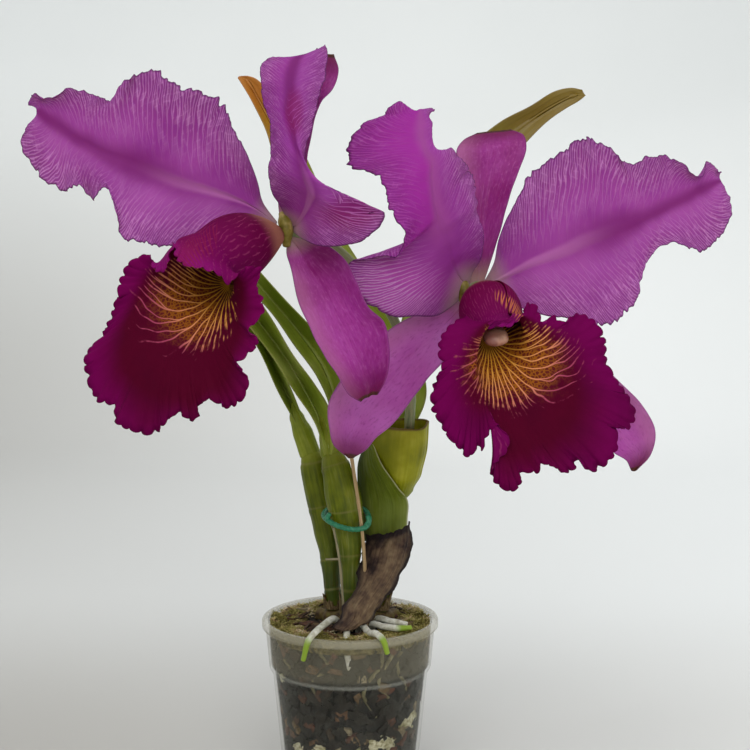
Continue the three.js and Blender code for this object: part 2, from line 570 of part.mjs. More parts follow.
const flowers = {
  left: {
    centre: [-27, -88, 282],
    petal_left: [
      [[-3.5, -1.5, 3.5], [-3.2, -1.5, 5], [-3.8, -1.5, 2]],
      [[-10, -3, 9], [-9, -3, 13], [-12, -2, 5]],
      [[-17, -3, 13], [-11, -6, 21], [-21, -4, 1]],
      [[-25, -3, 16], [-15, -8, 33], [-31, -6, -2]],
      [[-35, -2, 19], [-21, -9, 44], [-41, -8, -5]],
      [[-46, -1, 22], [-26, -8, 55], [-51, -10, -6]],
      [[-56, 1, 26], [-36, -5, 61], [-59, -11, -5]],
      [[-65, 3, 30], [-48, -1, 65], [-68, -10, -2]],
      [[-73, 4, 33], [-58, 1, 71], [-73, -5, 8]],
      [[-81, 6, 36], [-69, 2, 67], [-78, 2, 20]],
      [[-88, 8, 40], [-77, 5, 59], [-86, 6, 15]],
      [[-94, 10, 43], [-85, 6, 61], [-92, 8, 21]],
      [[-101, 12, 48], [-97, 8, 64], [-98, 9, 19]],
      [[-106, 13, 51], [-108, 10, 60], [-111, 11, 26]],
      [[-110, 14, 54], [-113, 12, 62], [-119, 13, 40]],
      [[-112, 15, 55], [-116, 14, 58], [-116, 14, 49]],
    ],
    petal_right: [
      [[3.2, -1.3, 2.4], [2.6, -1.3, 3.9], [3.4, -1.8, 0.9]],
      [[7, -9, 5], [0, -6, 9], [9, -10, -3]],
      [[10, -15, 9], [-2, -10, 13], [16, -18, -6]],
      [[12, -20, 13], [-4, -14, 16], [27, -26, -6]],
      [[13, -24, 16], [-5, -18, 21], [37, -33, -3]],
      [[12, -26, 21], [-5, -21, 27], [44, -38, 7]],
      [[10, -26, 26], [-4, -23, 32], [30, -31, 7]],
      [[8, -25, 31], [-4, -25, 38], [16, -24, 17]],
      [[6, -23, 37], [-4, -26, 43], [11, -23, 27]],
      [[5, -21, 44], [-4, -26, 47], [10, -24, 37]],
      [[3, -19, 51], [-6, -25, 52], [11, -25, 46]],
      [[3, -17, 58], [-8, -23, 58], [13, -24, 54]],
      [[3, -16, 63], [-8, -21, 63], [16, -22, 61]],
      [[4, -14, 68], [-7, -18, 69], [16, -19, 68]],
      [[5, -13, 72], [-3, -15, 73], [12, -15, 74]],
      [[5, -12, 74], [2, -13, 73], [8, -13, 76]],
    ],
    dorsal_sepal: [
      [[0, 1.5, 5], [-2, 1.5, 5], [2, 1.5, 5]],
      [[1, 4, 13], [-3, 4, 13], [5, 3, 13]],
      [[2, 5, 24], [-3, 3, 23], [9, 0, 24]],
      [[3, 4, 37], [-4, 0, 36], [11, -5, 36]],
      [[5, 2, 49], [-3, -4, 47], [14, -8, 49]],
      [[9, -1, 59], [0, -7, 57], [17, -6, 57]],
      [[14, -4, 67], [6, -9, 68], [22, -2, 63]],
      [[17, -6, 72], [12, -9, 75], [24, -1, 71]],
      [[18, -7, 77], [15, -8, 79], [22, -4, 77]],
    ],
    lateral_sepal_left: [
      [[-3, 1.5, -1], [-3.4, 1.5, 0.5], [-2.6, 1.5, -2.5]],
      [[-7, 2, -5], [-10, 1, 0], [-6, 1, -8]],
      [[-14, 3, -10], [-20, 1, -5], [-10, 0, -15]],
      [[-20, 4, -18], [-27, 0, -13], [-13, 0, -24]],
      [[-25, 6, -26], [-34, 1, -22], [-16, 1, -32]],
      [[-30, 8, -35], [-40, 2, -32], [-20, 2, -41]],
      [[-36, 10, -44], [-45, 4, -42], [-25, 4, -49]],
      [[-41, 11, -53], [-49, 6, -52], [-32, 6, -57]],
      [[-45, 11, -60], [-50, 8, -60], [-39, 8, -62]],
      [[-47, 11, -63], [-48, 10, -65], [-44, 10, -65]],
    ],
    lateral_sepal_right: [
      [[2.6, 1.5, -2.5], [1, 1.5, -3], [4, 1.5, -1.6]],
      [[7, 0, -8], [1, -1, -9], [13, -2, -4]],
      [[10, -2, -14], [3, -5, -15], [20, -6, -6]],
      [[15, -5, -21], [5, -9, -23], [27, -10, -12]],
      [[19, -7, -28], [7, -13, -31], [32, -13, -21]],
      [[23, -9, -36], [11, -16, -39], [37, -16, -32]],
      [[27, -11, -44], [15, -19, -47], [44, -19, -39]],
      [[31, -12, -52], [19, -21, -54], [46, -21, -48]],
      [[34, -12, -60], [24, -22, -61], [46, -22, -56]],
      [[37, -13, -67], [29, -21, -70], [44, -21, -65]],
      [[37, -16, -71], [34, -19, -73], [41, -19, -70]],
    ],
    column: { path: [[-1.3, -2, 0.6], [-6.5, -9, -3], [-15, -17, -6], [-22, -24, -9.5]], radii: [1.9, 2.4, 3.2, 4] },
    lip: {
      foot: [-2.5, -4.5, -0.5],
      mouth: [-29, -30, -15.5],
      footRadius: 3.4,
      mouthRadius: 15,
      belly: 7,
      turn: [[0, -8], [0.04, 15], [0.09, 74], [0.8, 235], [1, 368]],
      margin: [
        [-43, -43, -7], [-44, -44, -12], [-47, -40, -17], [-52, -34, -16], [-55, -30, -10], [-62, -27, -12],
        [-67, -26, -19], [-69, -26, -27], [-72, -25, -34], [-76, -25, -44], [-82, -26, -51], [-82, -29, -61],
        [-77, -33, -71], [-70, -36, -73], [-67, -38, -80], [-60, -41, -83], [-52, -43, -84], [-46, -45, -79],
        [-41, -46, -75], [-34, -48, -78], [-31, -49, -70], [-27, -50, -69], [-20, -52, -72], [-13, -54, -68],
        [-11, -54, -59], [-16, -54, -54], [-9, -54, -49], [-7, -53, -45], [-10, -53, -40], [-5, -52, -34],
        [-6, -50, -28], [-8, -47, -23], [-6, -42, -16], [-11, -45, -15], [-15, -48, -18], [-19, -51, -22],
        [-23, -55, -18], [-28, -56, -16], [-35, -53, -15], [-40, -49, -12], [-42, -45, -5],
      ],
      reach: 0.4,
      frill: 2.6,
      seed: 5,
    },
  },
  right: {
    centre: [60, -62, 256],
    petal_left: [
      [[-3.7, -0.9, 1.5], [-3.5, -0.9, 3], [-3.9, -0.9, 0]],
      [[-8, -7, 6], [-2, -5, 9], [-12, -6, -7]],
      [[-11, -12, 11], [1, -9, 14], [-19, -12, -11]],
      [[-13, -16, 16], [2, -12, 20], [-29, -18, -11]],
      [[-15, -19, 21], [2, -14, 26], [-39, -22, -11]],
      [[-17, -21, 27], [0, -16, 33], [-49, -25, -6]],
      [[-19, -23, 33], [-1, -17, 39], [-57, -26, 3]],
      [[-20, -24, 37], [-2, -18, 45], [-59, -27, 13]],
      [[-21, -25, 41], [-3, -18, 49], [-49, -29, 17]],
      [[-21, -26, 44], [-4, -19, 53], [-38, -33, 19]],
      [[-22, -27, 48], [-6, -20, 56], [-37, -35, 26]],
      [[-22, -27, 53], [-10, -21, 59], [-41, -36, 35]],
      [[-22, -27, 57], [-14, -22, 62], [-42, -34, 43]],
      [[-23, -27, 62], [-19, -23, 63], [-47, -30, 52]],
      [[-23, -25, 67], [-23, -20, 67], [-57, -26, 54]],
      [[-23, -24, 71], [-24, -18, 71], [-59, -23, 61]],
      [[-23, -23, 74], [-24, -17, 75], [-55, -21, 73]],
      [[-23, -22, 77], [-24, -17, 78], [-46, -20, 78]],
      [[-23, -21, 78], [-23, -17, 80], [-37, -19, 82]],
      [[-24, -20, 79], [-23, -17, 81], [-31, -18, 79]],
    ],
    petal_right: [
      [[3, -0.9, 1.8], [2.8, -0.9, 3.3], [3.2, -0.9, 0.3]],
      [[11, -4, 6], [9, -5, 13], [13, -3, -3]],
      [[17, -4, 9], [11, -7, 23], [21, -5, -8]],
      [[25, -4, 13], [14, -9, 33], [31, -8, -11]],
      [[33, -3, 16], [19, -10, 43], [41, -10, -12]],
      [[41, -2, 19], [25, -9, 54], [51, -12, -15]],
      [[49, -1, 23], [35, -7, 61], [60, -12, -15]],
      [[57, 1, 26], [45, -4, 69], [67, -10, -10]],
      [[65, 3, 29], [52, -2, 70], [73, -6, -4]],
      [[73, 5, 32], [63, 1, 64], [76, -1, 3]],
      [[80, 7, 35], [70, 3, 59], [79, 3, 13]],
      [[87, 9, 38], [80, 5, 62], [85, 5, 21]],
      [[93, 11, 41], [89, 6, 62], [95, 6, 21]],
      [[100, 13, 44], [98, 8, 58], [104, 7, 18]],
      [[105, 15, 47], [105, 11, 53], [112, 10, 22]],
      [[110, 16, 49], [110, 14, 60], [119, 13, 30]],
      [[114, 17, 51], [114, 16, 58], [122, 16, 41]],
      [[117, 18, 52], [116, 18, 56], [120, 18, 49]],
    ],
    dorsal_sepal: [
      [[0.6, 2, 4.8], [-1.4, 2, 4.6], [2.6, 2, 4.6]],
      [[2, 5, 14], [-2, 4, 14], [6, 3, 15]],
      [[3, 8, 28], [-4, 4, 26], [9, 2, 27]],
      [[4, 10, 39], [-6, 5, 37], [13, 2, 39]],
      [[6, 12, 50], [-7, 6, 47], [16, 3, 49]],
      [[7, 13, 59], [-8, 6, 57], [21, 8, 58]],
      [[8, 13, 66], [-9, 7, 65], [24, 12, 67]],
      [[8, 14, 71], [-6, 10, 70], [23, 15, 73]],
      [[9, 16, 75], [1, 14, 74], [17, 17, 76]],
    ],
    lateral_sepal_left: [
      [[-3, 2, -3], [-3.8, 2, -1.8], [-2.2, 2, -4]],
      [[-9, 2, -10], [-13, 0, -7], [-6, 1, -15]],
      [[-17, 0, -18], [-25, -4, -10], [-10, -3, -25]],
      [[-24, -2, -24], [-35, -6, -14], [-16, -6, -33]],
      [[-32, -4, -32], [-45, -9, -21], [-22, -9, -39]],
      [[-39, -5, -40], [-55, -11, -30], [-27, -12, -45]],
      [[-46, -6, -48], [-63, -13, -41], [-33, -14, -53]],
      [[-53, -6, -56], [-68, -14, -51], [-39, -15, -60]],
      [[-57, -7, -64], [-68, -14, -61], [-46, -15, -66]],
      [[-59, -9, -70], [-66, -13, -71], [-51, -14, -72]],
      [[-58, -11, -74], [-61, -12, -75], [-55, -12, -75]],
    ],
    lateral_sepal_right: [
      [[3, 2, -3], [3.8, 2, -1.8], [2.2, 2, -4]],
      [[13, 3, -13], [17, 1, -10], [8, 1, -19]],
      [[23, 4, -22], [29, -1, -17], [15, 0, -28]],
      [[34, 4, -31], [44, -4, -24], [24, -3, -40]],
      [[45, 4, -41], [56, -5, -32], [34, -4, -51]],
      [[55, 4, -51], [66, -6, -42], [45, -5, -61]],
      [[64, 3, -61], [76, -6, -52], [55, -5, -69]],
      [[72, 1, -70], [83, -5, -64], [64, -4, -75]],
      [[76, 0, -77], [83, -4, -75], [71, -3, -79]],
      [[76, -2, -83], [79, -3, -82], [73, -3, -83]],
    ],
    column: { path: [[0.5, -2, -0.1], [2, -12, -4.5], [4, -23, -12.5], [6.5, -33, -21]], radii: [2, 2.7, 3.8, 5] },
    lip: {
      foot: [0.8, -4.6, -1],
      mouth: [6, -34, -19],
      footRadius: 3.4,
      mouthRadius: 12,
      belly: 7,
      turn: [[0, -8], [1, 368]],
      margin: [
        [4, -42, -16], [-1, -41, -15], [-5, -40, -14], [-8, -40, -11], [-12, -42, -12], [-18, -44, -18],
        [-20, -46, -25], [-18, -47, -31], [-22, -48, -39], [-23, -49, -48], [-19, -50, -56], [-15, -51, -62],
        [-11, -52, -66], [-7, -52, -70], [-3, -53, -66], [1, -53, -66], [3, -53, -61], [6, -54, -59],
        [9, -54, -61], [5, -55, -67], [1, -56, -75], [6, -56, -81], [11, -56, -84], [15, -56, -80],
        [16, -55, -76], [22, -54, -77], [24, -54, -73], [29, -53, -74], [35, -51, -77], [39, -50, -75],
        [41, -49, -71], [46, -47, -77], [52, -45, -75], [58, -42, -68], [59, -40, -59], [64, -37, -60],
        [68, -34, -52], [62, -32, -43], [56, -31, -33], [54, -31, -22], [50, -32, -13], [42, -33, -9],
        [36, -35, -13], [31, -35, -10], [26, -37, -14], [24, -36, -7], [20, -36, -4], [17, -39, -9],
        [14, -42, -13], [9, -44, -15], [5, -44, -14],
      ],
      reach: 0.4,
      frill: 2.6,
      seed: 9,
    },
  },
};

Object.entries(flowers).forEach(([side, flower], n) => {
  const bloom = new THREE.Group();
  bloom.position.set(...flower.centre);
  plant.add(bloom);
  const put = (organ, geometry, material) => add(`${side}_flower_${organ}`, geometry, material, bloom);
  ["petal_left", "petal_right"].forEach((organ, k) => {
    const grid = bladeGrid(flower[organ], 19, 6, 2.2, 5, 20 + 4 * n + k);
    put(organ, sheet(grid, PETAL_THICKNESS), petalPink);
  });
  ["dorsal_sepal", "lateral_sepal_left", "lateral_sepal_right"].forEach((organ) => {
    put(organ, sheet(bladeGrid(flower[organ], 12, 4), SEPAL_THICKNESS), petalPink);
  });
  put("lip", sheet(lipGrid(flower.lip, 7, flower.lip.margin.length - 1), LIP_THICKNESS), lipPurple);
  put("column", limb(flower.column.path, flower.column.radii, { sides: 8, steps: 6 }), columnCream);
});

export default plant;
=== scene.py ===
# A cattleya orchid in flower, standing in its clear nursery pot.
# Lengths are in millimetres until a mesh or a finish is made, where MM turns them into metres.
import math

import bpy
import numpy as np
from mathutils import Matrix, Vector


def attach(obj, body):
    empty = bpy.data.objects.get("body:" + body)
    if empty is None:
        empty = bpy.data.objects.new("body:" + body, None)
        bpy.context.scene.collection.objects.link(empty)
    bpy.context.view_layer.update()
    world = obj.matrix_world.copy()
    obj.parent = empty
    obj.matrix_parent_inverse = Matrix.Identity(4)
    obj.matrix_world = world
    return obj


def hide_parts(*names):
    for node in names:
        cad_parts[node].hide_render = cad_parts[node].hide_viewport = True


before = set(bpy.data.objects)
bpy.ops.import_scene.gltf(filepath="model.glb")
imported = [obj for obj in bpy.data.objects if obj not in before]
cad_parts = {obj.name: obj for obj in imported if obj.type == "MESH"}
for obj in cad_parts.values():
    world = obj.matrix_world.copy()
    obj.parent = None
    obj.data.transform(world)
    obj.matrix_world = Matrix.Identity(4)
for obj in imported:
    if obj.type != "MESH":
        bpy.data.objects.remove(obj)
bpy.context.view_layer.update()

# ================================================================ clear pot
# A thin pot of clear polypropylene, formed in one piece: a thick band at the mouth stiffens it, and the wall
# steps in at a ledge. It has clouded a little, most of all above the ledge, and fine droplets spot it.
MM = 0.001
POT_HEIGHT = 85
RIM_RADIUS = 46
RIM_FOOT = POT_HEIGHT - 3.6
MOUTH_RADIUS = 42.8
LEDGE_HEIGHT = 60
OVER_LEDGE_RADIUS = 42.4
UNDER_LEDGE_RADIUS = 40.8
BASE_RADIUS = 34.5
WALL = 1.2
POT_FLOOR = 1.6
POT_FACETS = 144
POT_PROFILE = [
    (0, 0), (BASE_RADIUS - 1, 0), (BASE_RADIUS, 0.3), (BASE_RADIUS + 0.6, 1.4),
    (UNDER_LEDGE_RADIUS - 0.4, LEDGE_HEIGHT - 3.4), (UNDER_LEDGE_RADIUS, LEDGE_HEIGHT - 2.6),
    (OVER_LEDGE_RADIUS - 0.4, LEDGE_HEIGHT - 0.4), (OVER_LEDGE_RADIUS - 0.1, LEDGE_HEIGHT + 0.4),
    (RIM_RADIUS - 1.8, RIM_FOOT - 1), (RIM_RADIUS - 0.4, RIM_FOOT - 0.5), (RIM_RADIUS, RIM_FOOT),
    (RIM_RADIUS, POT_HEIGHT - 0.8), (RIM_RADIUS - 0.3, POT_HEIGHT - 0.2), (RIM_RADIUS - 0.9, POT_HEIGHT),
    (MOUTH_RADIUS + 0.4, POT_HEIGHT), (MOUTH_RADIUS, POT_HEIGHT - 0.5), (MOUTH_RADIUS - 0.2, RIM_FOOT),
    (OVER_LEDGE_RADIUS - WALL, LEDGE_HEIGHT + 1), (UNDER_LEDGE_RADIUS - WALL, LEDGE_HEIGHT - 2),
    (BASE_RADIUS - WALL, POT_FLOOR + 0.4), (BASE_RADIUS - WALL - 0.6, POT_FLOOR), (0, POT_FLOOR),
]


def mesh_object(name, places, faces, uv=None, shades=None):
    """A smooth mesh from places in millimetres, faces, and a (u, v) and a material number for each."""
    mesh = bpy.data.meshes.new(name)
    mesh.from_pydata((np.asarray(places, float) * MM).tolist(), [], [list(map(int, f)) for f in faces])
    mesh.shade_smooth()
    if uv is not None:
        corners = np.empty(len(mesh.loops), np.int32)
        mesh.loops.foreach_get("vertex_index", corners)
        layer = mesh.uv_layers.new(name="UVMap")
        layer.data.foreach_set("uv", np.asarray(uv, float)[corners].astype(np.float32).ravel())
    if shades is not None:
        mesh.polygons.foreach_set("material_index", np.asarray(shades, np.int32))
    mesh.validate()
    made = bpy.data.objects.new(name, mesh)
    bpy.context.scene.collection.objects.link(made)
    return made


def circle(around):
    """The angles of points spaced evenly round a circle."""
    return np.arange(around) * 2 * math.pi / around


def ring_faces(rings, around, closed=False):
    """The quads between rings of vertices, each ring with the same count."""
    last = rings if closed else rings - 1
    k = np.arange(last)[:, None] * around
    above = ((np.arange(last) + 1) % rings)[:, None] * around
    i = np.arange(around)[None, :]
    j = (i + 1) % around
    return np.stack([k + i, k + j, above + j, above + i], -1).reshape(-1, 4)


def capped_faces(rings, around):
    """The same with a fan over each end, round the last two vertices: the middles of the end rings."""
    faces = ring_faces(rings, around).tolist()
    low, last = rings * around, (rings - 1) * around
    for i in range(around):
        j = (i + 1) % around
        faces.append((low, j, i))
        faces.append((low + 1, last + i, last + j))
    return faces


def turned(name, profile, around):
    """A body turned round the upright axis from (radius, height) pairs that start and end on the axis."""
    inner = profile[1:-1]
    angle = circle(around)
    places = [(r * c, r * s, z) for r, z in inner for c, s in zip(np.cos(angle), np.sin(angle))]
    places += [(0, 0, profile[0][1]), (0, 0, profile[-1][1])]
    return mesh_object(name, places, capped_faces(len(inner), around))


class Wire:
    """A value or colour that varies over a surface. Arithmetic on it adds Math nodes."""

    def __init__(self, finish, socket):
        self.finish = finish
        self.socket = socket

    def math(self, operation, first, second=0.0):
        return self.finish.node("ShaderNodeMath", {"operation": operation}, {0: first, 1: second})[0]

    def __add__(self, other):
        return self.math("ADD", self, other)

    def __radd__(self, other):
        return self.math("ADD", other, self)

    def __sub__(self, other):
        return self.math("SUBTRACT", self, other)

    def __rsub__(self, other):
        return self.math("SUBTRACT", other, self)

    def __mul__(self, other):
        return self.math("MULTIPLY", self, other)

    def __rmul__(self, other):
        return self.math("MULTIPLY", other, self)

    def __truediv__(self, other):
        return self.math("DIVIDE", self, other)

    def __pow__(self, other):
        return self.math("POWER", self, other)

    def __abs__(self):
        return self.math("ABSOLUTE", self)

    def fraction(self):
        return self.math("FRACT", self)

    def least(self, other):
        return self.math("MINIMUM", self, other)

    def most(self, other):
        return self.math("MAXIMUM", self, other)

    def between(self, low, high):
        """0 below low and 1 above high, with a soft step between them."""
        settings = {"interpolation_type": "SMOOTHSTEP"}
        return self.finish.node("ShaderNodeMapRange", settings, {0: self, 1: low, 2: high})[0]


class Outputs:
    """The outputs of one node, by number or by name."""

    def __init__(self, finish, sockets):
        self.finish = finish
        self.sockets = sockets

    def __getitem__(self, key):
        return Wire(self.finish, self.sockets[key])


def paint(colour):
    """A linear colour from the 0 to 255 red, green and blue of a paint chart. What is no such trio stays."""
    if not isinstance(colour, tuple):
        return colour
    return (*[((c / 255 + 0.055) / 1.055) ** 2.4 if c > 10 else c / 255 / 12.92 for c in colour], 1.0)


class Finish:
    """A material while it is made. Constant numbers are set on the shader; what varies is linked to it."""

    def __init__(self, name, roughness, gloss, **constants):
        self.material = bpy.data.materials.new(name)
        self.material.use_nodes = True
        self.tree = self.material.node_tree
        self.shader = self.tree.nodes["Principled BSDF"]
        self.colour = None
        constants.update({"Roughness": roughness, "Specular_IOR_Level": gloss})
        for key, value in constants.items():
            self.shader.inputs[key.replace("_", " ")].default_value = value

    def node(self, kind, settings, sockets):
        made = self.tree.nodes.new(kind)
        for key, value in settings.items():
            if key == "stops":
                self.set_stops(made.color_ramp, value)
            else:
                setattr(made, key, value)
        for key, value in sockets.items():
            if isinstance(value, Wire):
                self.tree.links.new(value.socket, made.inputs[key])
            else:
                made.inputs[key].default_value = value
        return Outputs(self, made.outputs)

    def set_stops(self, ramp, stops):
        while len(ramp.elements) < len(stops):
            ramp.elements.new(1.0)
        for element, (place, colour) in zip(ramp.elements, stops):
            element.position = place
            element.color = colour

    def feed(self, name, wire):
        self.tree.links.new(wire.socket, self.shader.inputs[name])

    def place(self):
        """Where the surface is, in metres, in the model's own frame."""
        return self.node("ShaderNodeTexCoord", {}, {})["Object"]

    def xyz(self):
        """The same place as three numbers."""
        return self.node("ShaderNodeSeparateXYZ", {}, {0: self.place()})

    def across_along(self):
        """The two surface coordinates of a blade or a stem."""
        uv = self.node("ShaderNodeUVMap", {"uv_map": "UVMap"}, {})[0]
        parts = self.node("ShaderNodeSeparateXYZ", {}, {0: uv})
        return parts[0], parts[1]

    def point(self, x, y, z=0.0):
        return self.node("ShaderNodeCombineXYZ", {}, {0: x, 1: y, 2: z})[0]

    def noise(self, place, scale, detail=3.0, roughness=0.55, distortion=0.0):
        sockets = {"Vector": place, "Scale": scale, "Detail": detail}
        sockets.update({"Roughness": roughness, "Distortion": distortion})
        return self.node("ShaderNodeTexNoise", {}, sockets)[0]

    def fibre(self, across, along, detail=3.0, roughness=0.55):
        """Noise with one scale across a blade or a stem and another along it."""
        u, v = self.across_along()
        return self.noise(self.point(u * across, v * along), 1.0, detail, roughness)

    def mix(self, factor, first, second):
        sockets = {0: factor, 6: paint(first), 7: paint(second)}
        return self.node("ShaderNodeMix", {"data_type": "RGBA"}, sockets)[2]

    def ramp(self, value, *stops):
        """A colour from a value, by stops of (value, red, green, blue)."""
        stops = [(place, paint(tuple(colour))) for place, *colour in stops]
        return self.node("ShaderNodeValToRGB", {"stops": stops}, {0: value})[0]

    def lay(self, colour):
        """The first colour of the surface."""
        self.colour = colour
        self.feed("Base Color", colour)

    def coat(self, cover, colour):
        """A further colour over the ones so far, by as much as the cover says."""
        self.lay(self.mix(cover, self.colour, colour))

    def bump(self, height, depth, strength=1.0):
        """Relief of the given depth in millimetres."""
        sockets = {"Strength": strength, "Distance": depth * MM, "Height": height}
        self.feed("Normal", self.node("ShaderNodeBump", {}, sockets)[0])


def dress(piece, slot, finishes, *nodes):
    """The piece takes its finishes, rides with the plant and stands for the named nodes."""
    for finish in finishes:
        piece.data.materials.append(finish.material)
    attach(piece, "root")
    if nodes:
        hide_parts(*nodes)
    return piece


def clouded_plastic():
    finish = Finish("clouded_plastic", 0.2, 0.5, IOR=1.49)
    cloud = finish.noise(finish.place(), 45.0, 4.0)
    droplets = finish.noise(finish.place(), 420.0, 2.0).between(0.58, 0.7)
    height = finish.xyz()[2]
    rim = height.between((RIM_FOOT - 1.2) * MM, RIM_FOOT * MM)
    ledge = 1 - abs(height - LEDGE_HEIGHT * MM).between(0.4 * MM, 1.6 * MM)
    fogged = height.between(LEDGE_HEIGHT * MM, (LEDGE_HEIGHT + 4) * MM) * (1 - rim)
    edge_on = finish.node("ShaderNodeLayerWeight", {}, {"Blend": 0.35})["Facing"]
    haze = cloud.between(0.3, 0.75) * 0.02 + droplets * 0.05 + fogged * 0.09
    solid = rim * 0.36 + ledge * 0.2 + edge_on**3.0 * 0.4
    finish.feed("Alpha", (haze + solid + 0.01).least(1.0))
    finish.lay(finish.mix(cloud, (160, 160, 146), (198, 199, 190)))
    finish.coat(fogged.most(rim) * 0.8, (188, 180, 152))
    finish.feed("Roughness", cloud * 0.2 + 0.1)
    return finish


dress(turned("clear_pot_wall", POT_PROFILE, POT_FACETS), "clear_pot", [clouded_plastic()], "pot")

# ================================================================ bark mix
# Chips of fir bark with a few lumps of pumice fill the pot. Where they press on the wall they lie flat
# against it, and dark gaps show between them.
MIX_TOP = 80
CHIP_ROW_HEIGHT = 4.2
CHIPS_IN_ROW = 44
WALL_CHIP_SIZES = (2.2, 1.2, 1.2), (4.6, 2.0, 2.8)
# Lumps of pumice that show through the wall: angle round the pot in degrees, height and size in millimetres.
PUMICE = [
    (-68, 28, 8.0), (-78, 24, 6.0), (-31, 36, 9.0), (-56, 28, 7.0), (-114, 26, 6.0),
    (-96, 12, 6.5), (8, 34, 6.5), (36, 52, 5.5), (72, 26, 7.0), (104, 44, 6.0),
    (138, 20, 6.5), (176, 38, 7.0), (208, 58, 5.0), (222, 24, 6.5), (-20, 12, 6.5),
    (120, 66, 4.5),
]
rng = np.random.default_rng(7)


def chance(n):
    """A repeatable number from 0 to 1 for each whole number."""
    s = np.sin(np.asarray(n, float) * 127.1 + 311.7) * 43758.5453
    return s - np.floor(s)


def softly(x):
    x = np.clip(x, 0, 1)
    return x * x * (3 - 2 * x)


def step(x, low, high):
    return softly((np.asarray(x, float) - low) / (high - low))


def lumps(x, y, seed):
    """Smooth noise from -1 to 1 over a plane."""
    xi, yi = np.floor(x), np.floor(y)
    fx, fy = softly(x - xi), softly(y - yi)
    corner = [[chance((xi + a) * 17 + (yi + b) * 59 + seed * 7) for a in (0, 1)] for b in (0, 1)]
    low = corner[0][0] * (1 - fx) + corner[0][1] * fx
    high = corner[1][0] * (1 - fx) + corner[1][1] * fx
    return 2 * (low * (1 - fy) + high * fy) - 1


def ground_height(x, y):
    return MIX_TOP + 1.6 * lumps(x / 6, y / 6, 3) + 1.5 * np.exp(-(x * x + y * y) / 300)


def wall_radius(z):
    """The inside of the pot at a height."""
    heights = [POT_FLOOR, LEDGE_HEIGHT - 2, LEDGE_HEIGHT + 1, POT_HEIGHT]
    radii = [BASE_RADIUS - WALL, UNDER_LEDGE_RADIUS - 0.2 - WALL, OVER_LEDGE_RADIUS - WALL, MOUTH_RADIUS]
    return np.interp(z, heights, radii)


def held_within(places, radius):
    """The same places, with any that lie past a radius from the pot's axis moved in to it."""
    reach = np.hypot(places[..., 0], places[..., 1])
    share = np.minimum(reach, radius) / reach
    return places * np.stack([share, share, np.ones_like(share)], -1)


def bark_core():
    """The dark body of the mix behind the chips, lumpy on its side and on top."""
    around, side_rings, top_rings = 120, 44, 16
    foot, sunk, chip_depth = POT_FLOOR + 0.4, 0.7, 2.6
    angle = circle(around)
    levels = np.concatenate([np.linspace(foot, MIX_TOP - 1, side_rings), np.full(top_rings, MIX_TOP)])
    inward = np.concatenate([np.zeros(side_rings), np.linspace(0.02, 0.98, top_rings)])
    rings = []
    for z, share in zip(levels, inward):
        relief = chip_depth + 1.2 * lumps(angle * 9, np.full(around, z / 4.5), 21)
        radius = (wall_radius(z) - relief) * (1 - share)
        x, y = radius * np.cos(angle), radius * np.sin(angle)
        top = ground_height(x, y) - sunk
        rings.append(np.stack([x, y, np.where(share > 0, top, z) + 0 * angle], -1))
    places = np.concatenate(rings + [[[0, 0, foot]], [[0, 0, ground_height(0, 0) - sunk]]])
    return mesh_object("bark_core", places, capped_faces(len(levels), around))


UNIT_CHIP = np.array([(x, y, z) for x in (-1, 1) for y in (-1, 1) for z in (-1, 1)], float)
CHIP_FACES = [(0, 1, 3, 2), (4, 6, 7, 5), (0, 4, 5, 1), (2, 3, 7, 6), (0, 2, 6, 4), (1, 5, 7, 3)]


def turn_matrix(yaw, pitch, roll):
    cy, sy, cp, sp, cr, sr = (f(a) for a in (yaw, pitch, roll) for f in (math.cos, math.sin))
    about_z = np.array([[cy, -sy, 0], [sy, cy, 0], [0, 0, 1]])
    about_y = np.array([[cp, 0, sp], [0, 1, 0], [-sp, 0, cp]])
    about_x = np.array([[1, 0, 0], [0, cr, -sr], [0, sr, cr]])
    return about_z @ about_y @ about_x


def chip_shape(size):
    """One broken chip: a box with each corner moved, its edges cut once so that they can round off."""
    corners = UNIT_CHIP * size * rng.uniform(0.62, 1.1, (8, 3))
    middles = np.array([corners[list(f)].mean(0) * rng.uniform(1.0, 1.25) for f in CHIP_FACES])
    places = np.vstack([corners, middles])
    faces = [(f[k], f[(k + 1) % 4], 8 + n) for n, f in enumerate(CHIP_FACES) for k in range(4)]
    return places, faces


def chip_heap(name, spots):
    """Every chip of a heap in one mesh. Each chip's own random number is its u, for its colour."""
    places, faces, uv = [], [], []
    for centre, size, turn, tone, at_wall in spots:
        shape, sides = chip_shape(np.array(size))
        shape = shape @ turn.T + centre
        if at_wall:
            shape = held_within(shape, wall_radius(shape[:, 2]) - 0.3)
            shape[:, 2] = np.maximum(shape[:, 2], POT_FLOOR + 0.3)
        start = sum(map(len, places))
        faces += [tuple(start + k for k in f) for f in sides]
        places.append(shape)
        uv += [(tone, 0.5)] * len(shape)
    made = mesh_object(name, np.vstack(places), faces, uv)
    made.data.shade_flat()
    return made


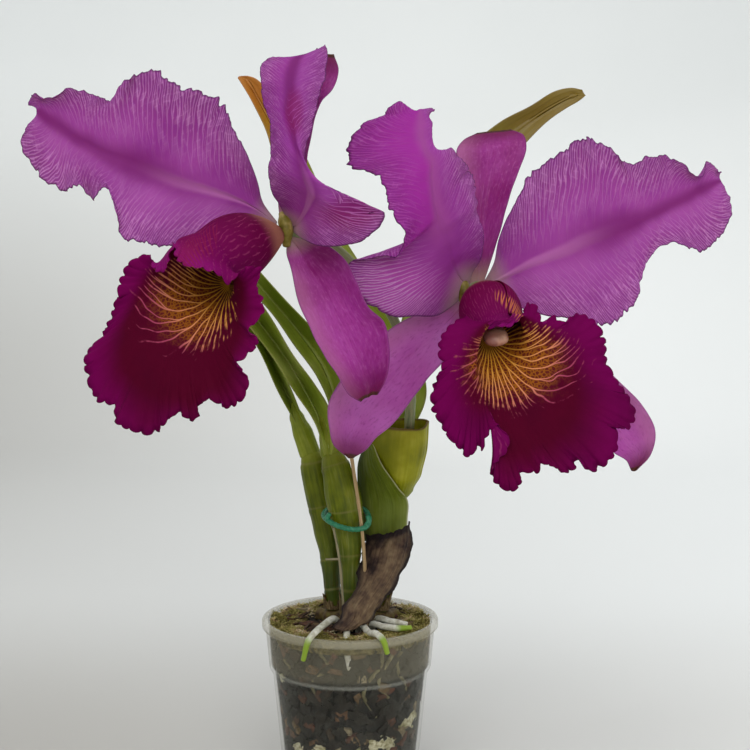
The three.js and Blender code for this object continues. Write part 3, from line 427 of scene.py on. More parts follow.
def wall_spots():
    """Chips standing against the inside of the pot, most of them bark, with room left for the front root."""
    spots = []
    for level in np.arange(POT_FLOOR + 3, MIX_TOP - 1, CHIP_ROW_HEIGHT):
        for k in range(CHIPS_IN_ROW):
            angle = 2 * math.pi * (k + rng.uniform(-0.4, 0.4)) / CHIPS_IN_ROW
            z = level + rng.uniform(-2, 2)
            tone = 0.96 * rng.uniform() ** 1.5
            size = rng.uniform(*WALL_CHIP_SIZES)
            radius = wall_radius(z) - rng.uniform(0.6, 2.4)
            centre = np.array([radius * math.cos(angle), radius * math.sin(angle), z])
            if abs(centre[0]) < 3.4 and centre[1] < 0 and z > 60:
                continue
            lean = rng.uniform(-1.2, 1.2)
            turn = turn_matrix(angle + math.pi / 2, lean, rng.uniform(-0.3, 0.3))
            spots.append((centre, size, turn, tone, True))
    return spots


def strewn_spots(count, reach, sizes, tilt, lift, over_moss, tones):
    """Flat pieces strewn within a reach of the middle, a little over the ground and higher on the moss."""
    spots = []
    for _ in range(count):
        radius = reach * math.sqrt(rng.uniform())
        angle = rng.uniform(0, 2 * math.pi)
        x, y = radius * math.cos(angle), radius * math.sin(angle)
        size = rng.uniform(*sizes)
        turn = turn_matrix(rng.uniform(0, 6.28), rng.uniform(-tilt, tilt), rng.uniform(-tilt, tilt))
        z = ground_height(x, y) + rng.uniform(*lift) + over_moss * float(step(radius, 20, 27))
        spots.append((np.array([x, y, z]), size, turn, rng.uniform(*tones), False))
    return spots


def loose_chips():
    """Chips lying loose in the middle, inside the ring of moss."""
    return strewn_spots(190, 27, ((1.8, 1.2, 0.7), (4.2, 2.4, 1.5)), 0.4, (-0.2, 0.9), 0, (0, 0.62))


def litter():
    """Torn scraps of old papery scales that lie over the bark and the moss round the stems."""
    return strewn_spots(150, 33, ((1.6, 0.6, 0.25), (5.0, 1.7, 0.5)), 0.5, (0.6, 1.6), 3.2, (0.72, 0.965))


def pumice_lumps():
    """Rounded grains of pumice, pressed flat where they meet the wall."""
    across, upward = 14, 9
    bearing = circle(across)
    tilt = np.linspace(-1.35, 1.35, upward)[:, None]
    places, faces = [], []
    for number, (degrees, z, size) in enumerate(PUMICE):
        angle = math.radians(degrees)
        reach = float(wall_radius(z)) - 0.5 * size
        centre = np.array([reach * math.cos(angle), reach * math.sin(angle), z])
        uneven = lumps(2 * np.cos(bearing) + 5 * number, 2 * np.sin(bearing) + 3 * tilt, number)
        radius = size * (0.8 + 0.3 * uneven)
        x = radius * np.cos(tilt) * np.cos(bearing)
        y = radius * np.cos(tilt) * np.sin(bearing)
        body = np.stack([x, y, 0.75 * radius * np.sin(tilt)], -1).reshape(-1, 3)
        body = np.vstack([body, body[:across].mean(0), body[-across:].mean(0)]) + centre
        start = sum(map(len, places))
        faces += [[start + k for k in f] for f in capped_faces(upward, across)]
        places.append(held_within(body, wall_radius(body[:, 2]) - 0.25))
    return mesh_object("pumice_lumps", np.vstack(places), faces)


def pumice_finish():
    finish = Finish("pumice", 0.9, 0.15)
    pore = finish.noise(finish.place(), 700.0, 4.0, 0.7)
    stain = finish.noise(finish.place(), 90.0, 3.0)
    finish.lay(finish.mix(pore.between(0.35, 0.6), (140, 132, 96), (206, 200, 168)))
    finish.coat(stain.between(0.45, 0.65) * 0.7, (122, 116, 66))
    finish.bump(pore, 1.2, 0.8)
    return finish


def bark_finish():
    finish = Finish("fir_bark", 0.85, 0.25)
    tone, _ = finish.across_along()
    grain = finish.noise(finish.place(), 420.0, 5.0, 0.65, 0.3)
    finish.lay(finish.ramp(
        tone, (0.0, 28, 25, 21), (0.35, 44, 40, 33), (0.6, 40, 38, 30), (0.76, 66, 52, 38),
        (0.86, 98, 58, 42), (0.93, 120, 100, 66), (1.0, 198, 192, 162),
    ))
    finish.coat(grain.between(0.3, 0.75) * 0.75, (30, 26, 20))
    finish.bump(grain, 0.8, 0.5)
    return finish


def grained(name, roughness, gloss, grain, stops, relief):
    """A plain finish with one grain, of (scale, detail, roughness), and relief of (depth, strength)."""
    finish = Finish(name, roughness, gloss)
    tone = finish.noise(finish.place(), *grain)
    finish.lay(finish.ramp(tone, *stops))
    finish.bump(tone, *relief)
    return finish


bark = bark_finish()
core_colours = [(0.3, 22, 21, 19), (0.55, 40, 39, 35), (0.75, 58, 55, 46)]
dark_bark = grained("dark_bark", 0.95, 0.2, (160.0, 5.0, 0.6), core_colours, (2, 0.8))
dress(bark_core(), "bark_mix", [dark_bark], "potting_mix")
dress(chip_heap("bark_chips_at_wall", wall_spots()), "bark_mix", [bark])
dress(chip_heap("bark_chips_on_top", loose_chips()), "bark_mix", [bark])
dress(chip_heap("papery_litter", litter()), "bark_mix", [bark])
dress(pumice_lumps(), "bark_mix", [pumice_finish()])

# ================================================================ moss
# A ring of living moss has spread over the bark from the rim inwards: a low cushion of short pointed leaves,
# olive where they are fresh and straw or pale brown where they have dried.
MOSS_INNER = 25
MOSS_OUTER = 41.8
MOSS_DEPTH = 3.2
MOSS_LEAVES = 11000
MOSS_LEAF_SIDES = [(0, 2, 1), (0, 3, 2), (0, 1, 3), (4, 1, 2), (4, 2, 3), (4, 3, 1)]


def moss_height(x, y):
    radius = np.hypot(x, y)
    body = (MOSS_DEPTH + 1.8 * lumps(x / 5, y / 5, 11)) * step(radius, MOSS_INNER - 3, MOSS_INNER + 4)
    return ground_height(x, y) + body * (0.75 + 0.25 * step(-radius, -MOSS_OUTER, -MOSS_OUTER + 3))


def moss_cushion():
    around, rings = 200, 26
    angle = circle(around)
    tops = []
    for r in np.linspace(MOSS_INNER - 2, MOSS_OUTER, rings):
        reach = r + 0.8 * lumps(angle * 8, np.full(around, r), 31) * (r < MOSS_OUTER - 1)
        x, y = reach * np.cos(angle), reach * np.sin(angle)
        fine = 0.5 * lumps(x / 1.3, y / 1.3, 17)
        tops.append(np.stack([x, y, moss_height(x, y) + fine - 0.4], -1))
    under = [ring * (1, 1, 0) + (0, 0, MIX_TOP - 3) for ring in (tops[-1], tops[0])]
    places = np.concatenate(tops + under)
    return mesh_object("moss_cushion", places, ring_faces(rings + 2, around, closed=True))


def moss_leaves():
    """Short closed blades, three-sided and widest in the middle, each leaning over towards its tip."""
    radius = np.sqrt(rng.uniform((MOSS_INNER - 3) ** 2, (MOSS_OUTER - 0.3) ** 2, MOSS_LEAVES))
    angle = rng.uniform(0, 2 * math.pi, MOSS_LEAVES)
    x, y = radius * np.cos(angle), radius * np.sin(angle)
    root = np.stack([x, y, moss_height(x, y) - 0.7], -1)
    heading = rng.uniform(0, 2 * math.pi, MOSS_LEAVES)
    lean = np.stack([np.cos(heading), np.sin(heading), 0 * heading], -1)
    side = np.stack([-np.sin(heading), np.cos(heading), 0 * heading], -1)
    length = (rng.uniform(1.4, 3.4, MOSS_LEAVES) * (1 + 0.5 * lumps(x / 5, y / 5, 41)))[:, None]
    width = rng.uniform(0.16, 0.36, MOSS_LEAVES)[:, None]
    up = np.array([0, 0, 1.0])
    middle = root + lean * 0.3 * length + up * 0.5 * length
    tip = root + lean * 0.9 * length + up * rng.uniform(0.3, 0.85, MOSS_LEAVES)[:, None] * length
    back = middle - lean * width * 0.5 + up * width * 0.5
    places = np.stack([root, middle + side * width, back, middle - side * width, tip], 1)
    places = held_within(places, wall_radius(POT_HEIGHT) - 0.4)
    start = 5 * np.arange(MOSS_LEAVES)[:, None]
    faces = np.concatenate([start + list(corners) for corners in MOSS_LEAF_SIDES])
    tone = np.repeat(rng.uniform(0, 1, MOSS_LEAVES), 5)
    up_it = np.tile([0.0, 0.5, 0.5, 0.5, 1.0], MOSS_LEAVES)
    return mesh_object("moss_leaves", places.reshape(-1, 3), faces, np.stack([tone, up_it], -1))


def moss_finish():
    finish = Finish("living_moss", 0.9, 0.2)
    tone, along = finish.across_along()
    patch = finish.noise(finish.place(), 70.0, 2.0)
    leaf = finish.ramp(
        tone * 0.45 + patch.between(0.3, 0.7) * 0.5, (0.1, 92, 86, 34), (0.35, 140, 130, 62),
        (0.55, 190, 180, 110), (0.7, 194, 158, 120), (0.88, 240, 230, 198),
    )
    finish.lay(finish.mix(along.between(-0.3, 0.6), (70, 58, 34), leaf))
    return finish


base_colours = [(0.3, 58, 50, 26), (0.5, 104, 94, 50), (0.72, 160, 144, 98)]
moss_base = grained("moss_base", 0.95, 0.15, (380.0, 4.0, 0.7), base_colours, (1.5, 0.9))
dress(moss_cushion(), "moss", [moss_base], "moss")
dress(moss_leaves(), "moss", [moss_finish()])

# ================================================================ rhizome and pseudobulbs
# Three club-shaped green stems stand on a creeping rhizome. Each is jointed where a papery sheath once
# wrapped it, finely ribbed along its length, and yellower at the top, where the light has reached it.
STEM_AROUND = 60
STEM_STEPS = 130
STEMS = {
    "pseudobulb_left": {
        "path": [(-21, 14, 172), (-18, 14, 156), (-14, 14, 138), (-11, 12, 120), (-10, 9, 105), (-9, 7, 88)],
        "radii": [5.5, 7.6, 8, 7.4, 5.6, 4.4, 4],
        "joints": [0.09, 0.36, 0.7, 0.88],
    },
    "pseudobulb_middle": {
        "path": [(-10, -4, 174), (-6.2, -5, 161), (-2.6, -6, 145), (-1, -6, 131), (0, -6, 114), (0, -6, 88)],
        "radii": [5, 7.6, 9.2, 8.8, 6.6, 5, 4.4],
        "joints": [0.12, 0.43, 0.74, 0.9],
    },
    "pseudobulb_right": {
        "path": [(21, 16, 172), (19, 15, 155), (18, 13, 141), (19, 11, 128), (18, 8, 113), (15, 4, 88)],
        "radii": [5.5, 8.6, 10, 9.6, 8, 5.4, 4.4],
        "joints": [0.1, 0.5, 0.78],
    },
}
RHIZOME_PATH = [(-17, 13, 83), (-9, 7, 82.5), (0, -5, 82), (8, -4, 82), (16, 4, 82.5), (24, 12, 83)]
RHIZOME_RADII = [3, 5.4, 5.8, 5.2, 5.4, 3]
DOME_SHARES = (0.45, 0.8, 0.97)


def curve(points, t, closed=False):
    """Points at t, from 0 to 1, on the smooth curve that passes through the given points."""
    p = np.asarray(points, float)
    p = np.vstack([p[-1:], p, p[:2]]) if closed else np.vstack([2 * p[0] - p[1], p, 2 * p[-1] - p[-2]])
    x = np.clip(np.asarray(t, float), 0, 1) * (len(p) - 3)
    k = np.minimum(x.astype(int), len(p) - 4)
    w = (x - k)[:, None]
    a, b, c, d = p[k], p[k + 1], p[k + 2], p[k + 3]
    before, here, after = (np.sqrt(np.linalg.norm(gap, axis=1))[:, None] for gap in (b - a, c - b, d - c))
    start = ((b - a) / before - (c - a) / (before + here) + (c - b) / here) * here
    end = ((c - b) / here - (d - b) / (here + after) + (d - c) / after) * here
    return b + start * w + (3 * (c - b) - 2 * start - end) * w**2 + (2 * (b - c) + start + end) * w**3


def radii_at(radii, t):
    x = np.asarray(t, float) * (len(radii) - 1)
    k = np.minimum(x.astype(int), len(radii) - 2)
    radii = np.asarray(radii, float)
    return radii[k] + (radii[k + 1] - radii[k]) * softly(x - k)


def frames_along(centre):
    """A sideways and a forward direction at each point of a path, without twist."""
    tangent = np.gradient(centre, axis=0)
    tangent /= np.linalg.norm(tangent, axis=1)[:, None]
    side = np.array([0, 1.0, 0]) if abs(tangent[0, 0]) > 0.9 else np.array([1.0, 0, 0])
    sides = []
    for direction in tangent:
        side = side - direction * (side @ direction)
        side = side / np.linalg.norm(side)
        sides.append(side)
    sides = np.array(sides)
    return tangent, sides, np.cross(tangent, sides)


def level_side(tangent):
    """Sideways directions for a closed loop: outwards in the level plane, so that they meet again."""
    side = np.cross(tangent, np.array([0, 0, 1.0]))
    return side / np.linalg.norm(side, axis=1)[:, None]


def seam_share(around):
    """The u of each point of a ring: 1 at its seam and 0 opposite."""
    return np.abs(2 * np.arange(around) / around - 1)


def limb(name, path, radii, around, steps, flat=1.0, relief=None, closed=False):
    """A round body of changing section along a path, with domed ends. Its v runs along it."""
    t = np.linspace(0, 1, steps + 1)
    if closed:
        t = t[:-1]
    centre = curve(path, t, closed)
    tangent, side, front = frames_along(centre)
    if closed:
        side = level_side(tangent)
        front = np.cross(tangent, side)
    a = circle(around)
    r = radii_at(radii, t)[:, None] + (0 if relief is None else relief(a[None, :], t[:, None]))
    body = centre[:, None] + side[:, None] * (r * np.cos(a))[..., None]
    body = body + front[:, None] * (flat * r * np.sin(a))[..., None]
    rings, v = list(body), list(t)
    faces = ring_faces(len(rings), around, closed)
    if not closed:
        for share in DOME_SHARES:
            for end, sign in ((0, -1), (-1, 1)):
                shrunk = centre[end] + (body[end] - centre[end]) * math.sqrt(1 - share**2)
                where = 0 if sign < 0 else len(rings)
                rings.insert(where, shrunk + tangent[end] * sign * share * 0.5 * radii_at(radii, t[end]))
                v.insert(where, t[end])
        faces = capped_faces(len(rings), around)
    uv = np.stack([np.tile(seam_share(around), len(rings)), np.repeat(v, around)], -1)
    places = np.concatenate(rings)
    if not closed:
        places = np.vstack([places, rings[0].mean(0), rings[-1].mean(0)])
        uv = np.vstack([uv, (0.5, 0), (0.5, 1)])
    return mesh_object(name, places, faces, uv)


def stem_relief(joints, seed):
    """Fine ribs, with a groove and a swelling at each joint."""

    def relief(a, t):
        ribs = 0.09 * np.sin(15 * a + 3 * np.sin(3 * t + seed)) + 0.04 * np.sin(27 * a + seed)
        out = ribs * step(np.abs(np.sin(math.pi * t)), 0.0, 0.5)
        for joint in joints:
            lean = 0.012 * np.cos(a + seed + 9 * joint)
            out = out - 0.2 * np.exp(-(((t - joint - lean) / 0.006) ** 2))
            out = out + 0.2 * np.exp(-(((t - joint - lean - 0.02) / 0.016) ** 2))
        return out - 2.4 * step(-t, -0.06, 0.0)

    return relief


def plant_skin(name, roughness, gloss, fibres, share, patches, stops, **constants):
    """A skin whose colour follows its fibres by a share and soft patches for the rest. Gives all three."""
    finish = Finish(name, roughness, gloss, **constants)
    fibre = finish.fibre(*fibres)
    patch = finish.noise(finish.place(), patches, 3.0)
    finish.lay(finish.ramp(fibre * share + patch * (1 - share), *stops))
    return finish, fibre, patch


def bulb_finish(joints):
    greens = [(0.3, 48, 62, 6), (0.45, 78, 90, 6), (0.56, 106, 116, 8), (0.7, 148, 148, 22)]
    fibres = (14.4, 3.84, 4.0, 0.6)
    finish, streak, patch = plant_skin(
        "bulb_skin", 0.42, 0.22, fibres, 0.4, 42.0, greens, Subsurface_Weight=0.04,
    )
    _, up = finish.across_along()
    finish.coat(up.between(0.35, 0.85) * 0.6, (50, 68, 22))
    finish.coat((1 - up.between(0.0, 0.18)) * 0.7, (134, 142, 34))
    worn = streak.between(0.52, 0.7) * patch.between(0.48, 0.62)
    finish.coat(worn * 0.5, (110, 120, 78))
    for joint in joints:
        ring = 1 - abs(up - joint + (patch - 0.5) * 0.02).between(0.0, 0.012)
        finish.coat(ring * 0.4, (126, 120, 64))
    finish.feed("Roughness", patch * 0.3 + 0.26)
    finish.bump(streak, 0.6, 0.5)
    return finish


def rhizome_relief(a, t):
    """Close rings round the rhizome and a few ribs along it."""
    return 0.3 * np.sin(46 * t + 0.4 * np.sin(2 * a)) + 0.15 * np.sin(5 * a + 9 * t)


for number, (node, stem) in enumerate(STEMS.items()):
    relief = stem_relief(stem["joints"], 2 * number + 1)
    piece = limb(node + "_skin", stem["path"], stem["radii"], STEM_AROUND, STEM_STEPS, relief=relief)
    dress(piece, "bulb_green", [bulb_finish(stem["joints"])], node)
rhizome_colours = [(0.3, 52, 38, 22), (0.5, 92, 74, 40), (0.7, 110, 104, 48)]
rhizome_skin = grained("rhizome_skin", 0.75, 0.3, (260.0, 4.0, 0.6), rhizome_colours, (1, 0.8))
rhizome = limb("rhizome_bark", RHIZOME_PATH, RHIZOME_RADII, 36, 80, relief=rhizome_relief)
dress(rhizome, "bulb_green", [rhizome_skin], "rhizome")

# ================================================================ bulb sheath and foot scales
# A drying olive sheath, thin as paper, still wraps the front of the right-hand pseudobulb. It has split
# along a slanting edge and holds only at its foot. A ragged brown scale is left round the foot of each stem.
SHEATH_PAPER = 0.5
SHEATH = [
    [(18.5, -0.6, 124), (6, 7, 124), (29.5, 7, 124)],
    [(18, 0.4, 136), (4.6, 9.5, 136), (30, 8, 136)],
    [(17.6, -0.2, 146), (3.8, 9, 146), (30, 1, 146.5)],
    [(15, -3, 156), (3.8, 9, 156), (25, -9, 154.5)],
    [(11, -3, 167), (4.8, 7, 167), (17, -10, 166)],
    [(10, -3, 177), (9, 0, 177), (12, -7, 177)],
]
SCALE_LIFT = 0.9
SCALE_ANGLES = (-160, 140)


def edge_wave(t, count, seed):
    """An uneven wave along an edge: three sines whose lengths and phases come from the seed."""
    main, slow, quick = (2 * math.pi * chance(seed * 13 + k) for k in (1, 2, 3))
    wave = 0.55 * np.sin(2 * math.pi * count * t + main)
    wave = wave + 0.3 * np.sin(2 * math.pi * count * 0.43 * t + slow)
    return wave + 0.3 * np.sin(2 * math.pi * count * 1.9 * t + quick)


def grid_normals(grid):
    along_it, across_it = np.gradient(grid, axis=(0, 1))
    normal = np.cross(along_it, across_it)
    return normal / np.maximum(np.linalg.norm(normal, axis=2), 1e-9)[..., None]


def raised(grid, height):
    """The grid with each point moved along its normal by a height."""
    return grid + grid_normals(grid) * height[..., None]


def margin_wave(t, s, waves, seeds):
    """A wave along each margin of a blade: (count, seed) where s is above 0, and where it is below."""
    return np.where(s > 0, edge_wave(t, waves[0], seeds[0]), edge_wave(t, waves[1], seeds[1]))


def blade(stations, rows, cols, ruffle=0.0, waves=5, seed=1, teeth=None):
    """A grid of points over stations [midrib, one margin, other margin]: each cross-section is the parabola
    through its three points. The ruffle waves the margins, and teeth moves them out or in by a share."""
    t = np.linspace(0, 1, rows + 1)[:, None]
    s = np.linspace(-1, 1, cols + 1)[None, :]
    middle, one, other = (curve([station[k] for station in stations], t.ravel())[:, None] for k in range(3))
    tilt = (other - one) / 2
    cup = (one + other) / 2 - middle
    reach = s if teeth is None else s * (1 + teeth(t, s) * np.abs(s) ** 3)
    grid = middle + tilt * reach[..., None] + cup * (reach**2)[..., None]
    if ruffle:
        fade = np.abs(s) ** 2.5 * step(t, 0.08, 0.35)
        grid = raised(grid, ruffle * fade * margin_wave(t, s, (waves, waves), (seed + 50, seed)))
    return grid


def across_and_along(grid):
    rows, cols = grid.shape[:2]
    return np.linspace(0, 1, rows)[:, None], np.linspace(-1, 1, cols)[None, :]


def sheath_grid():
    grid = blade(SHEATH, 90, 50)
    t, s = across_and_along(grid)
    return raised(grid, 0.05 * np.sin(26 * s + 2 * np.sin(4 * t)) + 0.25 * lumps(3 * s + 5, 7 * t, 8))


def foot_scale_grid(stem):
    """A sheet bent round the foot of a stem, up to a ragged edge."""
    rows, cols = 24, 54
    share = np.linspace(0, 1, rows + 1)[:, None]
    a = np.linspace(*np.radians(SCALE_ANGLES), cols + 1)[None, :]
    top = 0.945 + 0.025 * np.sin(2 * a + 1) + 0.012 * np.sin(7 * a) + 0.008 * np.sin(19 * a)
    t = 1 + (top - 1) * share
    centre = curve(stem["path"], t.ravel()).reshape(*t.shape, 3)
    radius = radii_at(stem["radii"], t.ravel()).reshape(t.shape) + SCALE_LIFT
    radius = radius + 0.7 * share**3 * np.sin(5 * a) + 0.1 * np.sin(15 * a)
    out = np.stack([np.sin(a) + 0 * t, -np.cos(a) + 0 * t, 0 * t + 0 * a], -1)
    return centre + out * radius[..., None]


def sheet_mesh(name, grid, thickness, back_shade=0):
    """A closed blade round a grid of points. u runs across it and v along it, on both faces."""
    rows, cols = grid.shape[:2]
    count = rows * cols
    lift = grid_normals(grid) * (np.broadcast_to(thickness, (rows, cols)) / 2)[..., None]
    places = np.concatenate([(grid + lift).reshape(-1, 3), (grid - lift).reshape(-1, 3)])
    spot = np.arange(count).reshape(rows, cols)
    corners = (spot[:-1, :-1], spot[:-1, 1:], spot[1:, 1:], spot[1:, :-1])
    a, b, c, d = (corner.ravel() for corner in corners)
    front = np.stack([a, d, c, b], -1)
    back = np.stack([a, b, c, d], -1) + count
    rim = np.concatenate([spot[0, :-1], spot[:-1, -1], spot[-1, :0:-1], spot[:0:-1, 0]])
    after = np.roll(rim, -1)
    edge = np.stack([rim, after, after + count, rim + count], -1)
    v, u = np.meshgrid(np.linspace(0, 1, rows), np.linspace(0, 1, cols), indexing="ij")
    uv = np.tile(np.stack([u.ravel(), v.ravel()], -1), (2, 1))
    shades = np.concatenate([np.zeros(len(front)), np.full(len(back), back_shade), np.zeros(len(edge))])
    return mesh_object(name, places, np.concatenate([front, back, edge]), uv, shades)


def sheath_finish():
    olives = [(0.3, 84, 98, 20), (0.5, 102, 116, 30), (0.7, 128, 138, 62)]
    finish, rib, _ = plant_skin("dry_sheath", 0.5, 0.25, (30.0, 2.0), 0.4, 60.0, olives)
    across, _ = finish.across_along()
    # Painted light and shade: the right part of the sheath is painted brighter as lit, and its left margin
    # dark green as its shaded side.
    finish.coat(across.between(0.55, 0.95) * 0.5, (112, 124, 20))
    finish.coat((1 - across.between(0.05, 0.32)) * 0.8, (48, 62, 12))
    finish.coat(across.between(0.955, 0.985), (166, 168, 120))
    finish.bump(rib, 0.5, 0.6)
    return finish


def fibrous(name, roughness, gloss, fibres, stops, relief):
    """A plain finish with fibres, of (scale across, scale along, detail, roughness)."""
    finish = Finish(name, roughness, gloss)
    tone = finish.fibre(*fibres)
    finish.lay(finish.ramp(tone, *stops))
    finish.bump(tone, *relief)
    return finish


dress(sheet_mesh("bulb_sheath", sheath_grid(), SHEATH_PAPER), "bulb_green", [sheath_finish()])
scale_colours = [(0.3, 54, 42, 26), (0.5, 96, 78, 50), (0.7, 140, 122, 86)]
foot_scale = fibrous("foot_scale", 0.75, 0.2, (40.0, 2.0, 4.0), scale_colours, (0.6, 0.7))
for node, stem in STEMS.items():
    piece = sheet_mesh(node + "_foot_scale", foot_scale_grid(stem), SHEATH_PAPER)
    dress(piece, "dry_husk", [foot_scale])

# ================================================================ roots
# Thick round roots grow out over the bark. A spongy white skin covers them, and the growing tip is bare and
# green. Older ones lie flat on the inside of the wall.
ROOTS = {
    "root_over_rim": [
        (-5, -10, 84), (-8, -19, 89), (-12, -30, 89.5), (-16, -40, 88.5), (-19.5, -45.5, 85.5),
        (-22, -46, 76),
    ],
    "root_front": [(1, -11, 82), (1, -19, 86), (-1, -31, 86.5), (-1, -38, 80), (0, -38.5, 72), (0, -37, 64)],
    "root_right": [(13, -5, 82), (15, -11, 87), (21, -18, 87.5), (29, -21, 87)],
    "root_right_long": [
        (11.5, -12, 81.5), (12, -18, 86), (18, -24.5, 86.5), (24, -27, 86.5), (31, -26, 86.5),
    ],
    "root_front_right": [
        (4, -13, 80), (6, -22, 87), (10, -33, 86), (14, -42, 87.8), (17, -46.5, 86), (19, -48, 80),
    ],
}
ROOT_RADII = [1.5, 1.7, 1.6, 1.6, 1.2]
# How far along each root its green tip starts. One root ends in the bark and has none.
ROOT_TIPS = {
    "root_over_rim": 0.8, "root_front": 0.93, "root_right": 1.2, "root_right_long": 0.78,
    "root_front_right": 0.76,
}
INNER_ROOT_ANGLES = [-112, -72, -61, -47, -12, 40, 88, 131, 170, 214]
INNER_ROOT_TOP = 78
INNER_ROOT_RADII = [1.1, 1.0, 0.9, 0.5]


def root_relief(seed):
    return lambda a, t: 0.1 * lumps(3 * np.cos(a) + 30 * t, 3 * np.sin(a) + seed, seed)


def root_finish(green_from):
    finish = Finish("spongy_root", 0.6, 0.35)
    _, along_it = finish.across_along()
    grain = finish.noise(finish.place(), 420.0, 4.0, 0.6)
    stain = finish.noise(finish.place(), 110.0, 3.0)
    finish.lay(finish.ramp(grain, (0.25, 164, 158, 136), (0.5, 208, 206, 190), (0.7, 232, 232, 222)))
    finish.coat(stain.between(0.5, 0.75) * 0.5, (140, 134, 100))
    finish.coat(along_it.between(green_from - 0.08, green_from + 0.06), (132, 158, 44))
    finish.bump(grain, 0.5, 0.6)
    return finish


def inner_root(number, degrees):
    """An older root that wanders down the inside of the wall."""
    drop = 12 + 26 * float(chance(number + 5))
    path = []
    for k in range(6):
        z = INNER_ROOT_TOP - drop * k / 5
        angle = math.radians(degrees + 7 * math.sin(1.3 * k + number))
        reach = float(wall_radius(z)) - 1.5
        path.append((reach * math.cos(angle), reach * math.sin(angle), z))
    return limb(f"inner_root_{number}", path, INNER_ROOT_RADII, 12, 36, relief=root_relief(number + 20))


for number, (node, path) in enumerate(ROOTS.items()):
    piece = limb(node + "_skin", path, ROOT_RADII, 24, 70, relief=root_relief(number + 1))
    dress(piece, "root_white", [root_finish(ROOT_TIPS[node])], node)
old_root_colours = [(0.3, 72, 66, 44), (0.5, 104, 98, 68), (0.7, 140, 132, 98)]
old_root = grained("old_root", 0.75, 0.25, (300.0, 4.0, 0.6), old_root_colours, (0.6, 0.6))
for number, degrees in enumerate(INNER_ROOT_ANGLES):
    dress(inner_root(number, degrees), "root_white", [old_root])

# ================================================================ stake, dry stem and tie
# A split cane holds the middle stem up, beside the dry stalk of an earlier flowering. A soft plastic-coated
# wire goes once round stem and cane, and its two ends are bent up.
STAKE_PATH = [
    (1, -14.5, 172), (3.5, -15.5, 155), (6, -15.8, 137), (7.5, -15, 120), (8.3, -14, 105), (8.6, -13.5, 92),
    (8.6, -13.5, 74),
]
STAKE_RADIUS = 0.9
DRY_STEM_PATH = [(-8, -16, 135), (-5, -15, 117), (-2, -13.5, 74)]
DRY_TWIG_PATH = [(-12, -15.5, 119), (-5.5, -15, 119)]
TIE_PATH = [
    (-10, -14, 138), (-4, -17.4, 136), (3, -18.4, 135), (8.4, -17, 136), (10, -10, 139), (7, -1, 142),
    (-1, 4.4, 143), (-10.5, 1.6, 142), (-13.4, -6, 140),
]
TIE_RADIUS = 1.3
TIE_TWIST_WAVES = 34
WIRE_ENDS = {
    "left": [(-11, -12.6, 138.4), (-11.2, -13.2, 140.4), (-10.2, -13.6, 142)],
    "right": [(8.6, -16.4, 136.4), (9.8, -15.2, 138.6), (9.2, -14.8, 141)],
}
WIRE_END_RADII = [1.4, 1.2]


def joined(name, parts):
    """Several meshes made one piece."""
    bpy.ops.object.select_all(action="DESELECT")
    for part in parts:
        part.select_set(True)
    bpy.context.view_layer.objects.active = parts[0]
    bpy.ops.object.join()
    parts[0].name = name
    return parts[0]


def stake_relief(a, t):
    return 0.08 * np.sin(3 * a + 6 * t) + 0.05 * np.sin(60 * t)


def tie_relief(a, t):
    return 0.12 * np.sin(2 * a + 2 * math.pi * TIE_TWIST_WAVES * t)


def twig_relief(depth, waves):
    return lambda a, t: depth * np.sin(2 * a + waves * t)


def cane_finish(name, dark, light):
    return fibrous(name, 0.7, 0.3, (14.0, 5.0, 4.0, 0.65), [(0.3, *dark), (0.7, *light)], (0.4, 0.7))


def tie_finish():
    finish = Finish("coated_wire", 0.38, 0.5)
    scuff = finish.noise(finish.place(), 520.0, 3.0)
    finish.lay(finish.mix(scuff.between(0.4, 0.75), (26, 116, 80), (64, 146, 106)))
    finish.feed("Roughness", scuff * 0.3 + 0.25)
    return finish


stake = limb("stake_cane", STAKE_PATH, [STAKE_RADIUS, STAKE_RADIUS], 16, 80, relief=stake_relief)
dress(stake, "dry_cane", [cane_finish("split_cane", (150, 118, 78), (204, 178, 132))], "stake")
dry_stem = joined("dry_stalk", [
    limb("dry_stalk", DRY_STEM_PATH, [0.5, 0.7], 12, 60, relief=twig_relief(0.07, 25)),
    limb("dry_twig", DRY_TWIG_PATH, [0.5, 0.6], 12, 14, relief=twig_relief(0.06, 9)),
])
dress(dry_stem, "dry_cane", [cane_finish("dry_stalk", (118, 108, 78), (168, 160, 128))], "dry_stem")
wires = [limb("wire_loop", TIE_PATH, [TIE_RADIUS, TIE_RADIUS], 16, 150, relief=tie_relief, closed=True)]
wires += [limb(f"wire_end_{side}", path, WIRE_END_RADII, 12, 14) for side, path in WIRE_ENDS.items()]
dress(joined("wire_tie", wires), "tie_teal", [tie_finish()], "tie")

# ================================================================ dry husk
# The old sheath of the right-hand stem has dried, come away and folded down over the moss. It is brown,
# wrinkled along its fibres, and almost black where its edge has torn.
HUSK_THICKNESS = 0.64
HUSK_RUFFLE = 1.2
HUSK = [
    [(23, -9, 132), (9, 1, 128), (31, 1, 135)],
    [(21, -13, 123), (6.6, -4, 119), (32, -4, 124)],
    [(18, -18.5, 114), (4.8, -12, 111), (28, -9.5, 114)],
    [(13, -24, 106), (2.2, -17, 103), (22, -15, 104)],
    [(7, -28.5, 98), (-2.5, -21, 97), (17, -20, 97)],
    [(3, -32, 91), (-5, -26, 91), (11, -25, 91)],
    [(-2, -35, 87.5), (-8, -32, 88), (4, -31, 88)],
]


def husk_teeth(t, s):
    """How far the torn margin stands out or in, as a share of the half width."""
    return 0.05 * edge_wave(t, 6, 8) + 0.015 * edge_wave(t, 23, 2)


